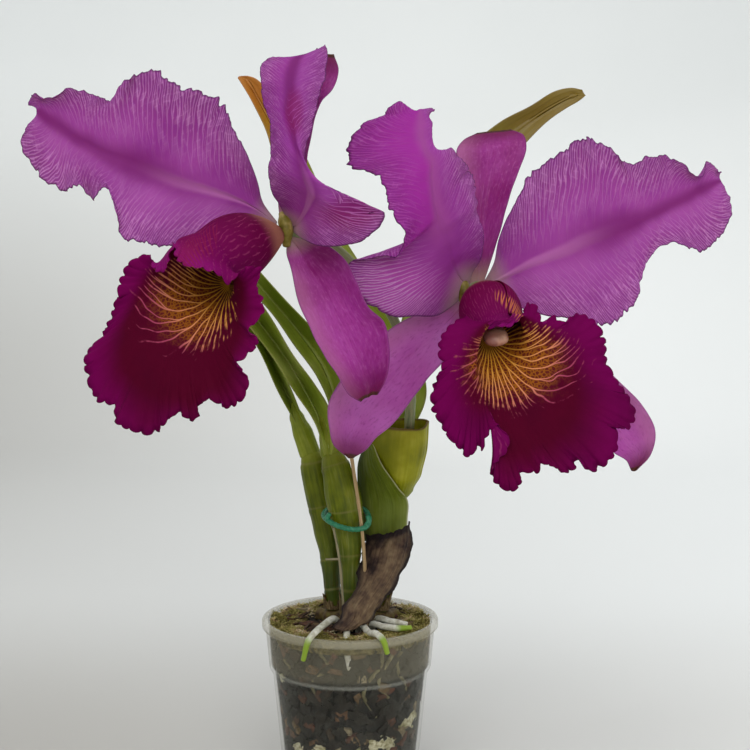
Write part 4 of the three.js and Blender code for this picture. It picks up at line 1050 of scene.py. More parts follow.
def husk_grid():
    grid = blade(HUSK, 110, 60, HUSK_RUFFLE, waves=3, seed=4, teeth=husk_teeth)
    t, s = across_and_along(grid)
    wrinkle = 0.28 * np.sin(16 * s + 5 * np.sin(5 * t) + 2 * np.sin(13 * t))
    wrinkle = wrinkle + 0.24 * lumps(6 * s + 20, 16 * t + 0 * s, 5) + 0.144 * np.sin(37 * s + 8 * t)
    torn = 0.6 * step(-t, -0.06, 0.0) * edge_wave((s + 1) / 2, 5, 4)
    return raised(grid, wrinkle) + np.array([0, 0, 1.0]) * torn[..., None]


def husk_finish():
    browns = [(0.36, 40, 28, 26), (0.46, 78, 60, 48), (0.56, 108, 88, 66), (0.68, 136, 116, 88)]
    finish, fibre, blotch = plant_skin("dried_husk", 0.8, 0.25, (26.0, 5.0, 4.0, 0.6), 0.25, 120.0, browns)
    across, along_it = finish.across_along()
    edge = (abs(across * 2.0 - 1.0) + (blotch - 0.5) * 0.5).between(0.72, 0.98)
    top = 1 - (along_it + (blotch - 0.5) * 0.12).between(0.03, 0.14)
    finish.coat(edge.most(top) * 0.92, (22, 12, 18))
    finish.bump(fibre, 0.9, 0.8)
    return finish


dress(sheet_mesh("dried_husk", husk_grid(), HUSK_THICKNESS), "dry_husk", [husk_finish()], "dry_husk")

# ================================================================ leaves
# Each stem carries one or two stiff strap leaves, thick, leathery and folded along the midrib. A short stout
# neck joins two front ones to their stems. The two back ones have coloured at the tip, one more than the
# other: orange on the left, olive on the right.
LEAF_THICKNESS = 1.8
LEAF_FOOT = 5
LEAVES = {
    "leaf_front": [
        [(-11, -6.5, 176.4), (-7.5, -9, 176.6), (-14.5, -9, 176.6)],
        [(-15, -2, 188), (-10, -10, 195), (-17, -9, 187)],
        [(-24, 3, 205), (-18, -11, 208), (-28, -10, 205)],
        [(-34, 7, 221), (-29, -9, 223), (-39, -8, 222)],
        [(-46, 10, 237), (-41, -7, 243), (-50, -6, 236)],
        [(-60, 13, 254), (-53, -4, 259), (-65, -3, 252)],
        [(-74, 14, 268), (-68, -1, 271), (-78, 0, 265)],
        [(-87, 15, 275), (-82, 6, 278), (-89, 7, 274)],
        [(-93, 15, 277), (-92, 13, 278), (-94, 13, 276)],
    ],
    "leaf_middle": [
        [(-9.5, 0.2, 175.9), (-6, -2.5, 176.2), (-13, -2.5, 176.2)],
        [(-7, 10, 190), (-2, 3, 197), (-10, 3, 193)],
        [(-12, 15, 211), (-7, 5, 219), (-16, 6, 211)],
        [(-26, 20, 232), (-21, 7, 236), (-29, 9, 228)],
        [(-39, 23, 247), (-34, 10, 250), (-41, 12, 244)],
        [(-54, 26, 264), (-49, 14, 267), (-58, 15, 261)],
        [(-68, 28, 280), (-62, 18, 283), (-73, 19, 276)],
        [(-78, 29, 290), (-75, 24, 293), (-80, 24, 287)],
        [(-82, 29, 295), (-81, 27, 296), (-83, 27, 294)],
    ],
    "leaf_left": [
        [(-21.5, 17, 174.7), (-18, 13, 174.9), (-25, 13, 174.9)],
        [(-27, 23, 185), (-24, 14, 185), (-29, 15, 185)],
        [(-35, 30, 200), (-32, 17, 203), (-38, 18, 202)],
        [(-45, 35, 220), (-41, 20, 222), (-47, 22, 221)],
        [(-56, 38, 240), (-50, 23, 243), (-58, 24, 240)],
        [(-64, 40, 258), (-58, 26, 258), (-68, 27, 260)],
        [(-72, 41, 275), (-67, 33, 274), (-75, 33, 276)],
        [(-75, 41, 282), (-74, 39, 282), (-77, 39, 283)],
    ],
    "leaf_back_left": [
        [(21.5, 13.5, 174.6), (25, 11.5, 174.7), (18, 11.5, 174.7)],
        [(29, 18, 188), (36, 11, 188), (22, 12, 188)],
        [(31, 22, 201), (40, 14, 202), (22, 14, 201)],
        [(25, 25, 219), (34, 16, 224), (16, 16, 215)],
        [(14, 27, 238), (24, 18, 242), (3, 18, 234)],
        [(0, 28, 257), (10, 19, 262), (-9, 19, 253)],
        [(-12, 30, 278), (-3, 21, 282), (-21, 21, 273)],
        [(-22, 32, 299), (-13, 23, 302), (-31, 23, 295)],
        [(-31, 34, 321), (-22, 26, 322), (-39, 26, 318)],
        [(-40, 35, 339), (-31, 29, 340), (-44, 28, 338)],
        [(-49, 36, 356), (-41, 32, 357), (-52, 31, 355)],
        [(-55, 36, 366), (-50, 34, 367), (-58, 33, 365)],
        [(-59, 36, 369), (-55, 35, 369), (-60, 35, 368)],
    ],
    "leaf_back_right": [
        [(20.5, 20.5, 173.7), (24, 18, 173.9), (17, 18, 173.9)],
        [(24, 29, 189), (32, 23, 189), (17, 23, 189)],
        [(32, 36, 212), (42, 27, 211), (22, 27, 215)],
        [(40, 40, 240), (51, 31, 238), (29, 31, 245)],
        [(48, 43, 270), (59, 34, 267), (37, 34, 275)],
        [(58, 45, 298), (68, 37, 294), (48, 37, 304)],
        [(71, 46, 322), (79, 39, 316), (62, 39, 329)],
        [(87, 46, 339), (94, 41, 334), (80, 41, 345)],
        [(102, 46, 350), (106, 42, 346), (97, 42, 354)],
        [(114, 45, 357), (116, 43, 353), (110, 43, 362)],
        [(121, 45, 360), (123, 44, 357), (119, 44, 364)],
        [(126, 44, 361), (127, 44, 360), (125, 44, 363)],
    ],
}
# How far the margins stand from the middle, against the stations, over the lower third of a leaf.
BROADER = {"leaf_left": 1.15, "leaf_middle": 1.2, "leaf_front": 1.05}
# Where along a leaf its tip starts to turn and has turned, and to what colour.
LEAF_TIPS = {
    "leaf_back_left": (0.62, 0.86, (176, 110, 34)),
    "leaf_back_right": (0.4, 0.72, (122, 100, 22)),
}
FRESH_TIP = (0.985, 1.0, (120, 116, 40))
NECKS = {
    "left": {
        "path": [(-21.4, 14, 169), (-25, 16, 179), (-28.4, 19, 187), (-31, 22, 195)],
        "radii": [5.6, 5.4, 4, 1.2],
    },
    "middle": {
        "path": [(-9.6, -4, 171), (-10, -3.4, 179), (-12, -2, 188), (-15, 0, 197)],
        "radii": [5.6, 5.8, 4.2, 1.2],
    },
}
NECK_FLAT = 0.8


def leaf_grid(stations, broader):
    """The margins are moved apart over the lower part, and a foot is set down into the top of the stem."""
    places = np.array(stations, float)
    places = np.concatenate([places[:1] - (0, 0, LEAF_FOOT), places])
    middle = places[:, 1:].mean(1, keepdims=True)
    spread = np.interp(np.arange(len(places)), [0, 1, 3, 6], [0.5, 0.85, broader, 1.0])
    places[:, 1:] = middle + (places[:, 1:] - middle) * spread[:, None, None]
    grid = blade(places, 150, 28)
    t, s = across_and_along(grid)
    groove = 0.7 * np.exp(-((s / 0.07) ** 2)) * step(np.sin(math.pi * t), 0.0, 0.4)
    swell = 0.3 * lumps(3 * s + 9, 22 * t, 7) * (1 - np.abs(s))
    return raised(grid, groove + swell)


def thinned(grid, thickness, edge=0.35):
    """Full thickness along the middle of a blade, thinner at its margins and tip."""
    t, s = across_and_along(grid)
    inward = np.minimum(1 - np.abs(s), 4 * (1 - t) + 0 * s)
    return thickness * (edge + (1 - edge) * step(inward, 0.0, 0.3))


def leaf_finish(tip_from, tip_to, tip_colour):
    greens = [(0.32, 118, 138, 34), (0.5, 142, 160, 52), (0.66, 170, 182, 92)]
    finish, streak, patch = plant_skin("strap_leaf", 0.4, 0.35, (24.0, 2.2, 4.0, 0.6), 0.25, 34.0, greens)
    across, along_it = finish.across_along()
    finish.coat((1 - abs(across - 0.5).between(0.0, 0.035)) * 0.5, (158, 172, 96))
    finish.coat(abs(across * 2.0 - 1.0).between(0.93, 1.0) * 0.5, (112, 108, 50))
    finish.coat((1 - along_it.between(0.03, 0.14)) * 0.7, (134, 142, 34))
    tip = finish.mix(streak.between(0.4, 0.75) * 0.4, tip_colour, (100, 76, 22))
    finish.coat((along_it + (patch - 0.5) * 0.12).between(tip_from, tip_to), tip)
    finish.feed("Roughness", patch * 0.25 + 0.26)
    finish.bump(streak, 0.4, 0.5)
    return finish


def neck_relief(a, t):
    return 0.1 * np.sin(13 * a + 2 * t)


def neck_finish():
    greens = [(0.34, 98, 112, 16), (0.5, 128, 138, 30), (0.64, 150, 156, 62)]
    finish, streak, _ = plant_skin("leaf_neck", 0.42, 0.25, (14.4, 2.24), 0.4, 60.0, greens)
    finish.bump(streak, 0.5, 0.5)
    return finish


neck_green = neck_finish()
for name, neck in NECKS.items():
    piece = limb(f"leaf_neck_{name}", neck["path"], neck["radii"], 40, 50, NECK_FLAT, neck_relief)
    dress(piece, "leaf_green", [neck_green])
for node, stations in LEAVES.items():
    grid = leaf_grid(stations, BROADER.get(node, 1.0))
    finish = leaf_finish(*LEAF_TIPS.get(node, FRESH_TIP))
    dress(sheet_mesh(node + "_strap", grid, thinned(grid, LEAF_THICKNESS)), "leaf_green", [finish], node)

# ================================================================ spathe and flower stalk
# The flower stalk came up through a flattened sheath, open on top with a browned rim. The round green stalk
# forks above it, and each branch thickens into the ribbed ovary behind its flower.
SPATHE_PATH = [(25.4, 3.8, 146), (26.6, -1, 153), (28.2, -6.5, 163), (30, -10, 176), (31, -11, 188)]
SPATHE_RADII = [3, 5.8, 8.2, 9, 8.8]
SPATHE_FLAT = 0.72
SPATHE_WALL = 0.9
HOLLOW_FLOOR = 0.38
SPATHE_KEEL = 0.1
# The left side is drawn out into a wing, by a share of the radius, and the wing swept back by millimetres.
WING_REACH = 1.15
WING_BACK = 6.0
STALK_RUNS = [
    {"path": [(28.5, -7.6, 164), (30, -10, 180), (31, -15, 200), (31, -24, 215)], "radii": [2.2, 2.6, 2.4]},
    {
        "path": [
            (31, -20, 208), (33, -28, 221), (41, -38, 234), (50, -48, 247), (58, -56, 255.6),
            (60.4, -61, 257),
        ],
        "radii": [2.2, 2.4, 2.6, 3.7],
    },
    {
        "path": [
            (31, -20, 208), (28, -30, 226), (20, -41, 246), (7, -56, 263), (-5, -68, 275), (-17, -78, 282),
            (-27.6, -87.2, 283.4),
        ],
        "radii": [2.2, 2.4, 2.8, 3.4],
    },
]


def spathe_cup():
    """The outer wall going up, over the slanting rim and down inside to the hollow's floor."""
    around = 64
    a = circle(around)
    keel = SPATHE_KEEL * np.exp(-(((a - math.pi * 0.02) / 0.3) ** 2))[None, :]
    left = np.exp(-(((a - math.pi) / 0.6) ** 2))[None, :]
    slant = (2.2 * np.sin(a + 0.6) + 0.5 * np.sin(3 * a + 1))[None, :]
    outer, inner = np.linspace(0, 1, 70), np.linspace(1, HOLLOW_FLOOR, 44)
    _, side, front = frames_along(curve(SPATHE_PATH, outer))
    rings, v = [], []
    for t, side, front, inwards in ((outer, side, front, 0.0), (inner, side[-1:], front[-1:], SPATHE_WALL)):
        centre = curve(SPATHE_PATH, t)
        r = radii_at(SPATHE_RADII, t)[:, None] - inwards + 0.1 * np.sin(23 * a)[None, :] * (inwards == 0)
        wing = left * step(t, 0.3, 0.7)[:, None]
        ring = centre[:, None] + side[:, None] * (r * (1 + keel + WING_REACH * wing) * np.cos(a))[..., None]
        ring = ring + front[:, None] * (SPATHE_FLAT * r * np.sin(a))[..., None]
        ring = ring + np.array([0, WING_BACK, 0]) * wing[..., None]
        ring = ring + np.array([0, 0, 1.0]) * (step(t, 0.75, 1.0)[:, None] * slant)[..., None]
        rings += list(ring)
        v += list(t)
    places = np.vstack(rings + [rings[0].mean(0) - (0, 0, 1), rings[-1].mean(0)])
    uv = np.stack([np.tile(seam_share(around), len(rings)), np.repeat(v, around)], -1)
    uv = np.vstack([uv, (0.5, 0), (0.5, 0.4)])
    return mesh_object("spathe_sheath", places, capped_faces(len(rings), around), uv)


def spathe_finish():
    greens = [(0.32, 116, 120, 8), (0.5, 152, 152, 16), (0.66, 180, 176, 50)]
    finish, rib, patch = plant_skin("spathe_skin", 0.4, 0.25, (16.0, 1.6), 0.25, 60.0, greens)
    around, up = finish.across_along()
    # Painted shade: the half away from the seam, on the left with the wing, is painted dark olive as the
    # shaded side.
    finish.coat((1 - around.between(0.0, 0.5)) * 0.75, (92, 98, 2))
    finish.coat(1 - up.between(0.05, 0.45), (96, 112, 20))
    finish.coat((up + (patch - 0.5) * 0.05).between(0.965, 0.995) * 0.85, (94, 66, 34))
    finish.bump(rib, 0.6, 0.6)
    return finish


def stalk_relief(a, t):
    """Six ribs on the ovary at the end of each run, and faint rings along it."""
    return 0.16 * np.sin(6 * a + 3 * t) * step(t, 0.5, 0.9) + 0.05 * np.sin(40 * t)


dress(spathe_cup(), "spathe_green", [spathe_finish()], "spathe")
runs = [
    limb(f"stalk_run_{k}", run["path"], run["radii"], 28, 90, relief=stalk_relief)
    for k, run in enumerate(STALK_RUNS)
]
stalk_colours = [(0.3, 90, 104, 60), (0.5, 124, 132, 84), (0.7, 150, 142, 104)]
stalk_skin = fibrous("stalk_skin", 0.45, 0.45, (6.0, 7.0, 4.0, 0.6), stalk_colours, (0.5, 0.5))
dress(joined("flower_stem", runs), "stalk_green", [stalk_skin], "flower_stalk")

# ================================================================ petals
# Each flower has two broad petals, thin and crisp as crepe. Veins run out from the midrib and stand up as
# pale crinkles towards the frilled margin, pale partly in their own colour and partly as painted highlight,
# with painted shade partly darkening the petal between them; the claw at the base is pale.
PETAL_THICKNESS = 0.8
PETAL_RUFFLE = 2.2
PETAL_ROWS, PETAL_COLS = 260, 44
PETAL_VEINS = 34
# The base of each flower. Stations and points of its parts are measured from here.
FLOWER_CENTRES = {"left": (-27, -88, 282), "right": (60, -62, 256)}
PETALS = {
    "left_flower_petal_left": [
        [(-3.5, -1.5, 3.5), (-3.2, -1.5, 5), (-3.8, -1.5, 2)],
        [(-10, -3, 9), (-9, -3, 13), (-12, -2, 5)],
        [(-17, -3, 13), (-11, -6, 21), (-21, -4, 1)],
        [(-25, -3, 16), (-15, -8, 33), (-31, -6, -2)],
        [(-35, -2, 19), (-21, -9, 44), (-41, -8, -5)],
        [(-46, -1, 22), (-26, -8, 55), (-51, -10, -6)],
        [(-56, 1, 26), (-36, -5, 61), (-59, -11, -5)],
        [(-65, 3, 30), (-48, -1, 65), (-68, -10, -2)],
        [(-73, 4, 33), (-58, 1, 71), (-73, -5, 8)],
        [(-81, 6, 36), (-69, 2, 67), (-78, 2, 20)],
        [(-88, 8, 40), (-77, 5, 59), (-86, 6, 15)],
        [(-94, 10, 43), (-85, 6, 61), (-92, 8, 21)],
        [(-101, 12, 48), (-97, 8, 64), (-98, 9, 19)],
        [(-106, 13, 51), (-108, 10, 60), (-111, 11, 26)],
        [(-110, 14, 54), (-113, 12, 62), (-119, 13, 40)],
        [(-112, 15, 55), (-116, 14, 58), (-116, 14, 49)],
    ],
    "left_flower_petal_right": [
        [(3.2, -1.3, 2.4), (2.6, -1.3, 3.9), (3.4, -1.8, 0.9)],
        [(7, -9, 5), (0, -6, 9), (9, -10, -3)],
        [(10, -15, 9), (-2, -10, 13), (16, -18, -6)],
        [(12, -20, 13), (-4, -14, 16), (27, -26, -6)],
        [(13, -24, 16), (-5, -18, 21), (37, -33, -3)],
        [(12, -26, 21), (-5, -21, 27), (44, -38, 7)],
        [(10, -26, 26), (-4, -23, 32), (30, -31, 7)],
        [(8, -25, 31), (-4, -25, 38), (16, -24, 17)],
        [(6, -23, 37), (-4, -26, 43), (11, -23, 27)],
        [(5, -21, 44), (-4, -26, 47), (12, -24, 37)],
        [(3, -19, 51), (-6, -25, 52), (14, -25, 46)],
        [(4, -17, 58), (-8, -23, 58), (16, -24, 54)],
        [(4, -16, 64), (-8, -21, 63), (18, -22, 61)],
        [(5, -14, 70), (-8.4, -18, 69.6), (19, -19, 68)],
        [(7, -13, 74), (-6, -15, 72.8), (20, -15, 75)],
        [(10, -12, 76), (-0.5, -13, 74), (19, -12, 79)],
    ],
    "right_flower_petal_left": [
        [(-3.7, -0.9, 1.5), (-3.5, -0.9, 3), (-3.9, -0.9, 0)],
        [(-8, -7, 6), (-2, -5, 9), (-12, -6, -7)],
        [(-11, -12, 11), (1, -9, 14), (-19, -12, -11)],
        [(-12.5, -15, 14), (2, -12, 20), (-29, -18, -11)],
        [(-14, -17, 18), (2, -14, 26), (-39, -22, -11)],
        [(-15.3, -19, 21.5), (0, -16, 33), (-49, -25, -6)],
        [(-16.5, -20.5, 25), (-1, -17, 39), (-57, -26, 3)],
        [(-17.5, -22, 28), (-2, -18, 45), (-59, -27, 12)],
        [(-18.5, -23, 31), (-3, -18, 49), (-49, -29, 14.5)],
        [(-19.5, -24.5, 35), (-4, -19, 53), (-36, -33, 16)],
        [(-21, -26, 42), (-6, -20, 56), (-35, -35, 25)],
        [(-22, -27, 51), (-10, -21, 59), (-41, -36, 35)],
        [(-22, -27, 57), (-14, -22, 62), (-42, -34, 43)],
        [(-25, -27, 62), (-19.5, -23, 61.5), (-47, -30, 52)],
        [(-26.5, -25, 67), (-24.5, -20, 66), (-57, -26, 54)],
        [(-27, -24, 71), (-24.5, -18, 70.5), (-59, -23, 61)],
        [(-27, -23, 74), (-23.3, -17, 74.5), (-55, -21, 73)],
        [(-27, -22, 77), (-22.6, -17, 77.5), (-46, -20, 78)],
        [(-27, -21, 79), (-22.3, -17, 79.5), (-37, -19, 82)],
        [(-27, -20, 80.5), (-22.3, -17, 81.5), (-31, -18, 79.5)],
    ],
    "right_flower_petal_right": [
        [(3, -0.9, 1.8), (2.8, -0.9, 3.3), (3.2, -0.9, 0.3)],
        [(11, -4, 6), (7.5, -5, 13), (13, -3, -3)],
        [(17, -4, 9), (9.3, -7, 23), (21, -5, -8)],
        [(25, -4, 13), (12.8, -9, 33), (31, -8, -11)],
        [(33, -3, 16), (18, -10, 43), (41, -10, -12)],
        [(41, -2, 19), (25, -9, 54), (51, -12, -15)],
        [(49, -1, 23), (35, -7, 61), (60, -12, -15)],
        [(57, 1, 26), (45, -4, 69), (67, -10, -10)],
        [(65, 3, 29), (52, -2, 70), (73, -6, -4)],
        [(73, 5, 32), (63, 1, 64), (76, -1, 3)],
        [(80, 7, 35), (70, 3, 59), (79, 3, 13)],
        [(87, 9, 38), (80, 5, 62), (85, 5, 21)],
        [(93, 11, 41), (89, 6, 62), (95, 6, 21)],
        [(100, 13, 44), (98, 8, 58), (104, 7, 18)],
        [(105, 15, 47), (105, 11, 53), (112, 10, 22)],
        [(110, 16, 49), (110, 14, 60), (119, 13, 30)],
        [(114, 17, 51), (114, 16, 58), (122, 16, 41)],
        [(117, 18, 52), (116, 18, 56), (120, 18, 49)],
    ],
}
# The right-hand petal of the left flower has rolled its margins in and lies almost smooth.
CALM = {"left_flower_petal_right": 0.4}
# Shaded ovals: middle and half size as (x, z), then the tint between the veins and on them.
WINE = (118, 14, 84), (160, 66, 134)
LIT_PINK = (168, 64, 158), (216, 152, 210)
LIT_BEND = [((20, 257), (28, 17), *LIT_PINK)]
DARK_TIPS = [((4, 290), (20, 11), *WINE), ((-21, 332), (5, 13), *WINE)]


def petal_teeth(seed, calm):
    """The small scallops of the margin, as a share of the half width."""

    def teeth(t, s):
        small = margin_wave(t, s, (41, 44), (seed + 3, seed + 5))
        broad = margin_wave(t, s, (15, 17), (seed + 7, seed + 9))
        bite = np.maximum(0, margin_wave(t, s, (21, 21), (seed + 51, seed + 11)) - 0.5)
        return (0.016 * small + 0.02 * broad - 0.07 * bite) * calm * step(t, 0.15, 0.35)

    return teeth


def petal_grid(stations, seed, calm):
    grid = blade(stations, PETAL_ROWS, PETAL_COLS, PETAL_RUFFLE * calm, 5, seed, petal_teeth(seed, calm))
    t, s = across_and_along(grid)
    out = np.abs(s)
    fan = t * PETAL_VEINS - out * 4 + 0.3 * lumps(9 * t + 0 * s, 5 * s, seed)
    crinkle = 0.16 * out**3 * np.sin(2 * math.pi * fan)
    frill = 0.9 * calm * out**7 * margin_wave(t, s, (15, 17), (seed + 2, seed + 4))
    dimple = 0.45 * lumps(2 * s + 9, 8 * t, seed + 1) * (1 - out)
    midrib = -0.7 * np.exp(-((s / 0.035) ** 2)) * step(1 - t, 0.1, 0.6)
    return raised(grid, (crinkle + frill) * step(t, 0.12, 0.4) + dimple + midrib)


def patch_of(finish, middle, half, ragged):
    """1 at the middle of an oval patch, given as (x, z), and 0 outside it, with a ragged margin."""
    place = finish.xyz()
    dx = (place[0] - middle[0] * MM) * (1 / (half[0] * MM))
    dz = (place[2] - middle[1] * MM) * (1 / (half[1] * MM))
    return 1 - ((dx * dx + dz * dz) ** 0.5 + (ragged - 0.5))


def petal_finish(name, patches=(), plain_half=False):
    """Each vein leaves the midrib alone, forks halfway out and forks again near the margin. A plain half is
    smooth and almost without veins beyond the claw."""
    finish = Finish(name, 0.6, 0.12, Subsurface_Weight=0.05)
    across, along_it = finish.across_along()
    out = abs(across * 2.0 - 1.0)
    wander = finish.noise(finish.place(), 48.0, 2.0)
    cloud = finish.noise(finish.place(), 28.0, 3.0)
    lane = along_it * PETAL_VEINS - out * 4.0 + wander
    fine = finish.noise(finish.point(lane * 2.6, out * 5.0, across * 2.0), 1.0, 2.0, 0.6)
    within = abs(lane.fraction() * 2.0 - 1.0)
    forked = abs(within - (out + wander * 0.3).between(0.35, 0.6) * 0.5)
    forked = abs(forked - (out + wander * 0.3).between(0.75, 1.0) * 0.25)
    line = 1 - forked.between(0.03, 0.17)
    crossing = abs((along_it * PETAL_VEINS * 1.4 + out * 9.0 + wander * 3.0).fraction() * 2.0 - 1.0)
    net = (1 - crossing.between(0.0, 0.4)) * fine.between(0.45, 0.6)
    pale = line * (cloud.between(0.35, 0.6) * 0.4 + 0.35) + fine.between(0.48, 0.64) * 0.35
    pale = (pale + net * out * 0.4).least(1.0)
    finish.lay(finish.mix(cloud.between(0.3, 0.7), (128, 36, 128), (150, 56, 146)))
    # Painted shade: a darker band along the midrib groove, much weaker on a plain-half petal.
    band = 1 - (out + (cloud - 0.5) * 0.2).between(0.02, 0.32)
    midrib_shade = (150, 62, 138) if plain_half else (104, 20, 94)
    finish.coat(band * along_it.between(0.15, 0.5) * 0.75, midrib_shade)
    crepe = out.between(0.05, 0.8) * pale * along_it.between(0.06, 0.25)
    half = across.between(0.5, 0.62)
    if plain_half:
        smooth = half * along_it.between(0.36, 0.5)
        finish.coat(smooth * 0.85, (150, 30, 142))
        crepe = crepe * (1 - smooth * 0.75)
    else:
        # Painted light: this half of the blade is painted lighter as lit, and a painted highlight runs along
        # the midrib ridge over the inner half of the petal.
        finish.coat(half * (1 - band) * 0.25, (172, 86, 166))
        midrib_highlight = (1 - out.between(0.02, 0.12)) * (1 - along_it.between(0.2, 0.5))
        finish.coat(midrib_highlight * 0.5, (178, 104, 160))
    # The pale crinkles are partly the veins' own pale colour and partly painted highlight; the next coat,
    # darker between them towards the margin, is partly painted shade.
    finish.coat(crepe * 0.68, (196, 126, 188))
    finish.coat((1 - pale) * out.between(0.35, 0.95) * 0.5, (106, 26, 102))
    for middle, half_size, flesh, veins in patches:
        shade = patch_of(finish, middle, half_size, cloud).between(0.0, 0.7)
        finish.coat(shade * (1 - line) * 0.75, flesh)
        finish.coat(shade * line * 0.45, veins)
    finish.coat((1 - along_it.between(0.0, 0.12)) * 0.7, (176, 150, 140))
    finish.coat(out.between(0.97, 1.0) * 0.8, (74, 20, 76))
    finish.bump(pale * out, 0.5, 0.6)
    return finish


petal_skin = petal_finish("petal_skin")
PETAL_SKINS = {
    "right_flower_petal_left": petal_finish("half_plain_petal", LIT_BEND, plain_half=True),
    "left_flower_petal_right": petal_finish("dark_tipped_petal", DARK_TIPS),
}
for number, (node, stations) in enumerate(PETALS.items()):
    side = node.split("_")[0]
    seed = 20 + 4 * (number // 2) + number % 2
    grid = petal_grid(np.add(stations, FLOWER_CENTRES[side]), seed, CALM.get(node, 1.0))
    piece = sheet_mesh(node + "_blade", grid, thinned(grid, PETAL_THICKNESS))
    dress(piece, "petal_pink", [PETAL_SKINS.get(node, petal_skin)], node)

# ================================================================ sepals
# Three sepals stand behind the petals: narrower, plain edged and thicker, smooth like kid leather, faintly
# streaked along their length and darkening to a hooked tip.
SEPAL_THICKNESS = 1.1
SEPALS = {
    "left_flower_dorsal_sepal": [
        [(0, 1.5, 5), (-2, 1.5, 5), (2, 1.5, 5)],
        [(1, 4, 13), (-3, 4, 13), (5, 3, 13)],
        [(2, 5, 24), (-3, 3, 23), (9, 0, 24)],
        [(3, 4, 37), (-4, 0, 36), (11, -5, 36)],
        [(5, 2, 49), (-3, -4, 47), (14, -8, 49)],
        [(9, -1, 59), (0, -7, 57), (17, -6, 57)],
        [(14, -4, 67), (6, -9, 68), (22, -2, 63)],
        [(17, -6, 72), (12, -9, 75), (24, -1, 71)],
        [(18, -7, 77), (15, -8, 79), (22, -4, 77)],
    ],
    "left_flower_lateral_sepal_left": [
        [(-3, 1.5, -1), (-3.4, 1.5, 0.5), (-2.6, 1.5, -2.5)],
        [(-7, 2, -5), (-10, 1, 0), (-6, 1, -8)],
        [(-14, 3, -10), (-20, 1, -5), (-10, 0, -15)],
        [(-20, 4, -18), (-27, 0, -13), (-13, 0, -24)],
        [(-25, 6, -26), (-34, 1, -22), (-16, 1, -32)],
        [(-30, 8, -35), (-40, 2, -32), (-20, 2, -41)],
        [(-36, 10, -44), (-45, 4, -42), (-25, 4, -49)],
        [(-41, 11, -53), (-49, 6, -52), (-32, 6, -57)],
        [(-45, 11, -60), (-50, 8, -60), (-39, 8, -62)],
        [(-47, 11, -63), (-48, 10, -65), (-44, 10, -65)],
    ],
    "left_flower_lateral_sepal_right": [
        [(2.6, 1.5, -2.5), (1, 1.5, -3), (4, 1.5, -1.6)],
        [(7, 0, -8), (1, -1, -9), (13, -2, -4)],
        [(10, -2, -14), (3, -5, -15), (20, -6, -6)],
        [(15, -5, -21), (5, -9, -23), (27, -10, -12)],
        [(19, -7, -28), (7, -13, -31), (32, -13, -21)],
        [(23, -9, -36), (11, -16, -39), (37, -16, -32)],
        [(27, -11, -44), (15, -19, -47), (44, -19, -39)],
        [(31, -12, -52), (19, -21, -54), (46, -21, -48)],
        [(34, -12, -60), (24, -22, -61), (46, -22, -56)],
        [(37, -13, -67), (29, -21, -70), (44, -21, -65)],
        [(37, -16, -71), (34, -19, -73), (41, -19, -70)],
    ],
    "right_flower_dorsal_sepal": [
        [(0.6, 2, 2.4), (-3, 2, 2.2), (3, 2, 2.2)],
        [(2, 5, 14), (-4, 4, 14), (7.3, 3, 15)],
        [(3, 8, 28), (-4.5, 4, 26), (10.6, 2, 27)],
        [(4, 10, 39), (-6, 5, 37), (14, 2, 39)],
        [(6, 12, 50), (-7, 6, 47), (17, 3, 49)],
        [(7, 13, 59), (-8, 6, 57), (21, 8, 58)],
        [(8, 13, 66), (-9, 7, 65), (24, 12, 67)],
        [(8, 14, 71), (-6, 10, 70), (23, 15, 73)],
        [(9, 16, 75), (1, 14, 74), (17, 17, 76)],
    ],
    "right_flower_lateral_sepal_left": [
        [(-3, 2, -3), (-3.8, 2, -1.8), (-2.2, 2, -4)],
        [(-9, 2, -10), (-13, 0, -7), (-6, 1, -15)],
        [(-17, 0, -18), (-25, -4, -10), (-10, -3, -25)],
        [(-24, -2, -24), (-35, -6, -14), (-16, -6, -33)],
        [(-32, -4, -32), (-45, -9, -21), (-22, -9, -39)],
        [(-39, -5, -40), (-55, -11, -30), (-27, -12, -45)],
        [(-46, -6, -48), (-63, -13, -41), (-33, -14, -53)],
        [(-53, -6, -56), (-68, -14, -51), (-39, -15, -60)],
        [(-57, -7, -64), (-68, -14, -61), (-46, -15, -66)],
        [(-59, -9, -70), (-66, -13, -70), (-51, -14, -72)],
        [(-58, -12, -76.5), (-59.6, -12, -76), (-56.4, -12, -76)],
    ],
    "right_flower_lateral_sepal_right": [
        [(3, 2, -3), (3.8, 2, -1.8), (2.2, 2, -4)],
        [(13, 3, -13), (17, 1, -10), (8, 1, -19)],
        [(23, 4, -22), (29, -1, -17), (15, 0, -28)],
        [(34, 4, -31), (44, -4, -24), (24, -3, -40)],
        [(45, 4, -41), (56, -5, -32), (34, -4, -51)],
        [(55, 4, -51), (66, -6, -42), (45, -5, -61)],
        [(64, 3, -61), (76, -6, -52), (55, -5, -69)],
        [(72, 1, -70), (83, -5, -64), (64, -4, -75)],
        [(76.5, 0, -77), (81.5, -4, -75.5), (70.5, -3, -79)],
        [(74, -2, -84), (75.6, -3, -83), (72.6, -3, -83.6)],
    ],
}


def sepal_grid(stations, seed):
    grid = blade(stations, 110, 32)
    t, s = across_and_along(grid)
    keel = 0.5 * np.exp(-((s / 0.08) ** 2)) * step(1 - t, 0.05, 0.5)
    soft = 0.5 * lumps(2 * s + 5, 9 * t, seed) * (1 - s**2) + 0.25 * edge_wave(t, 4, seed) * s**2
    return raised(grid, soft - keel)


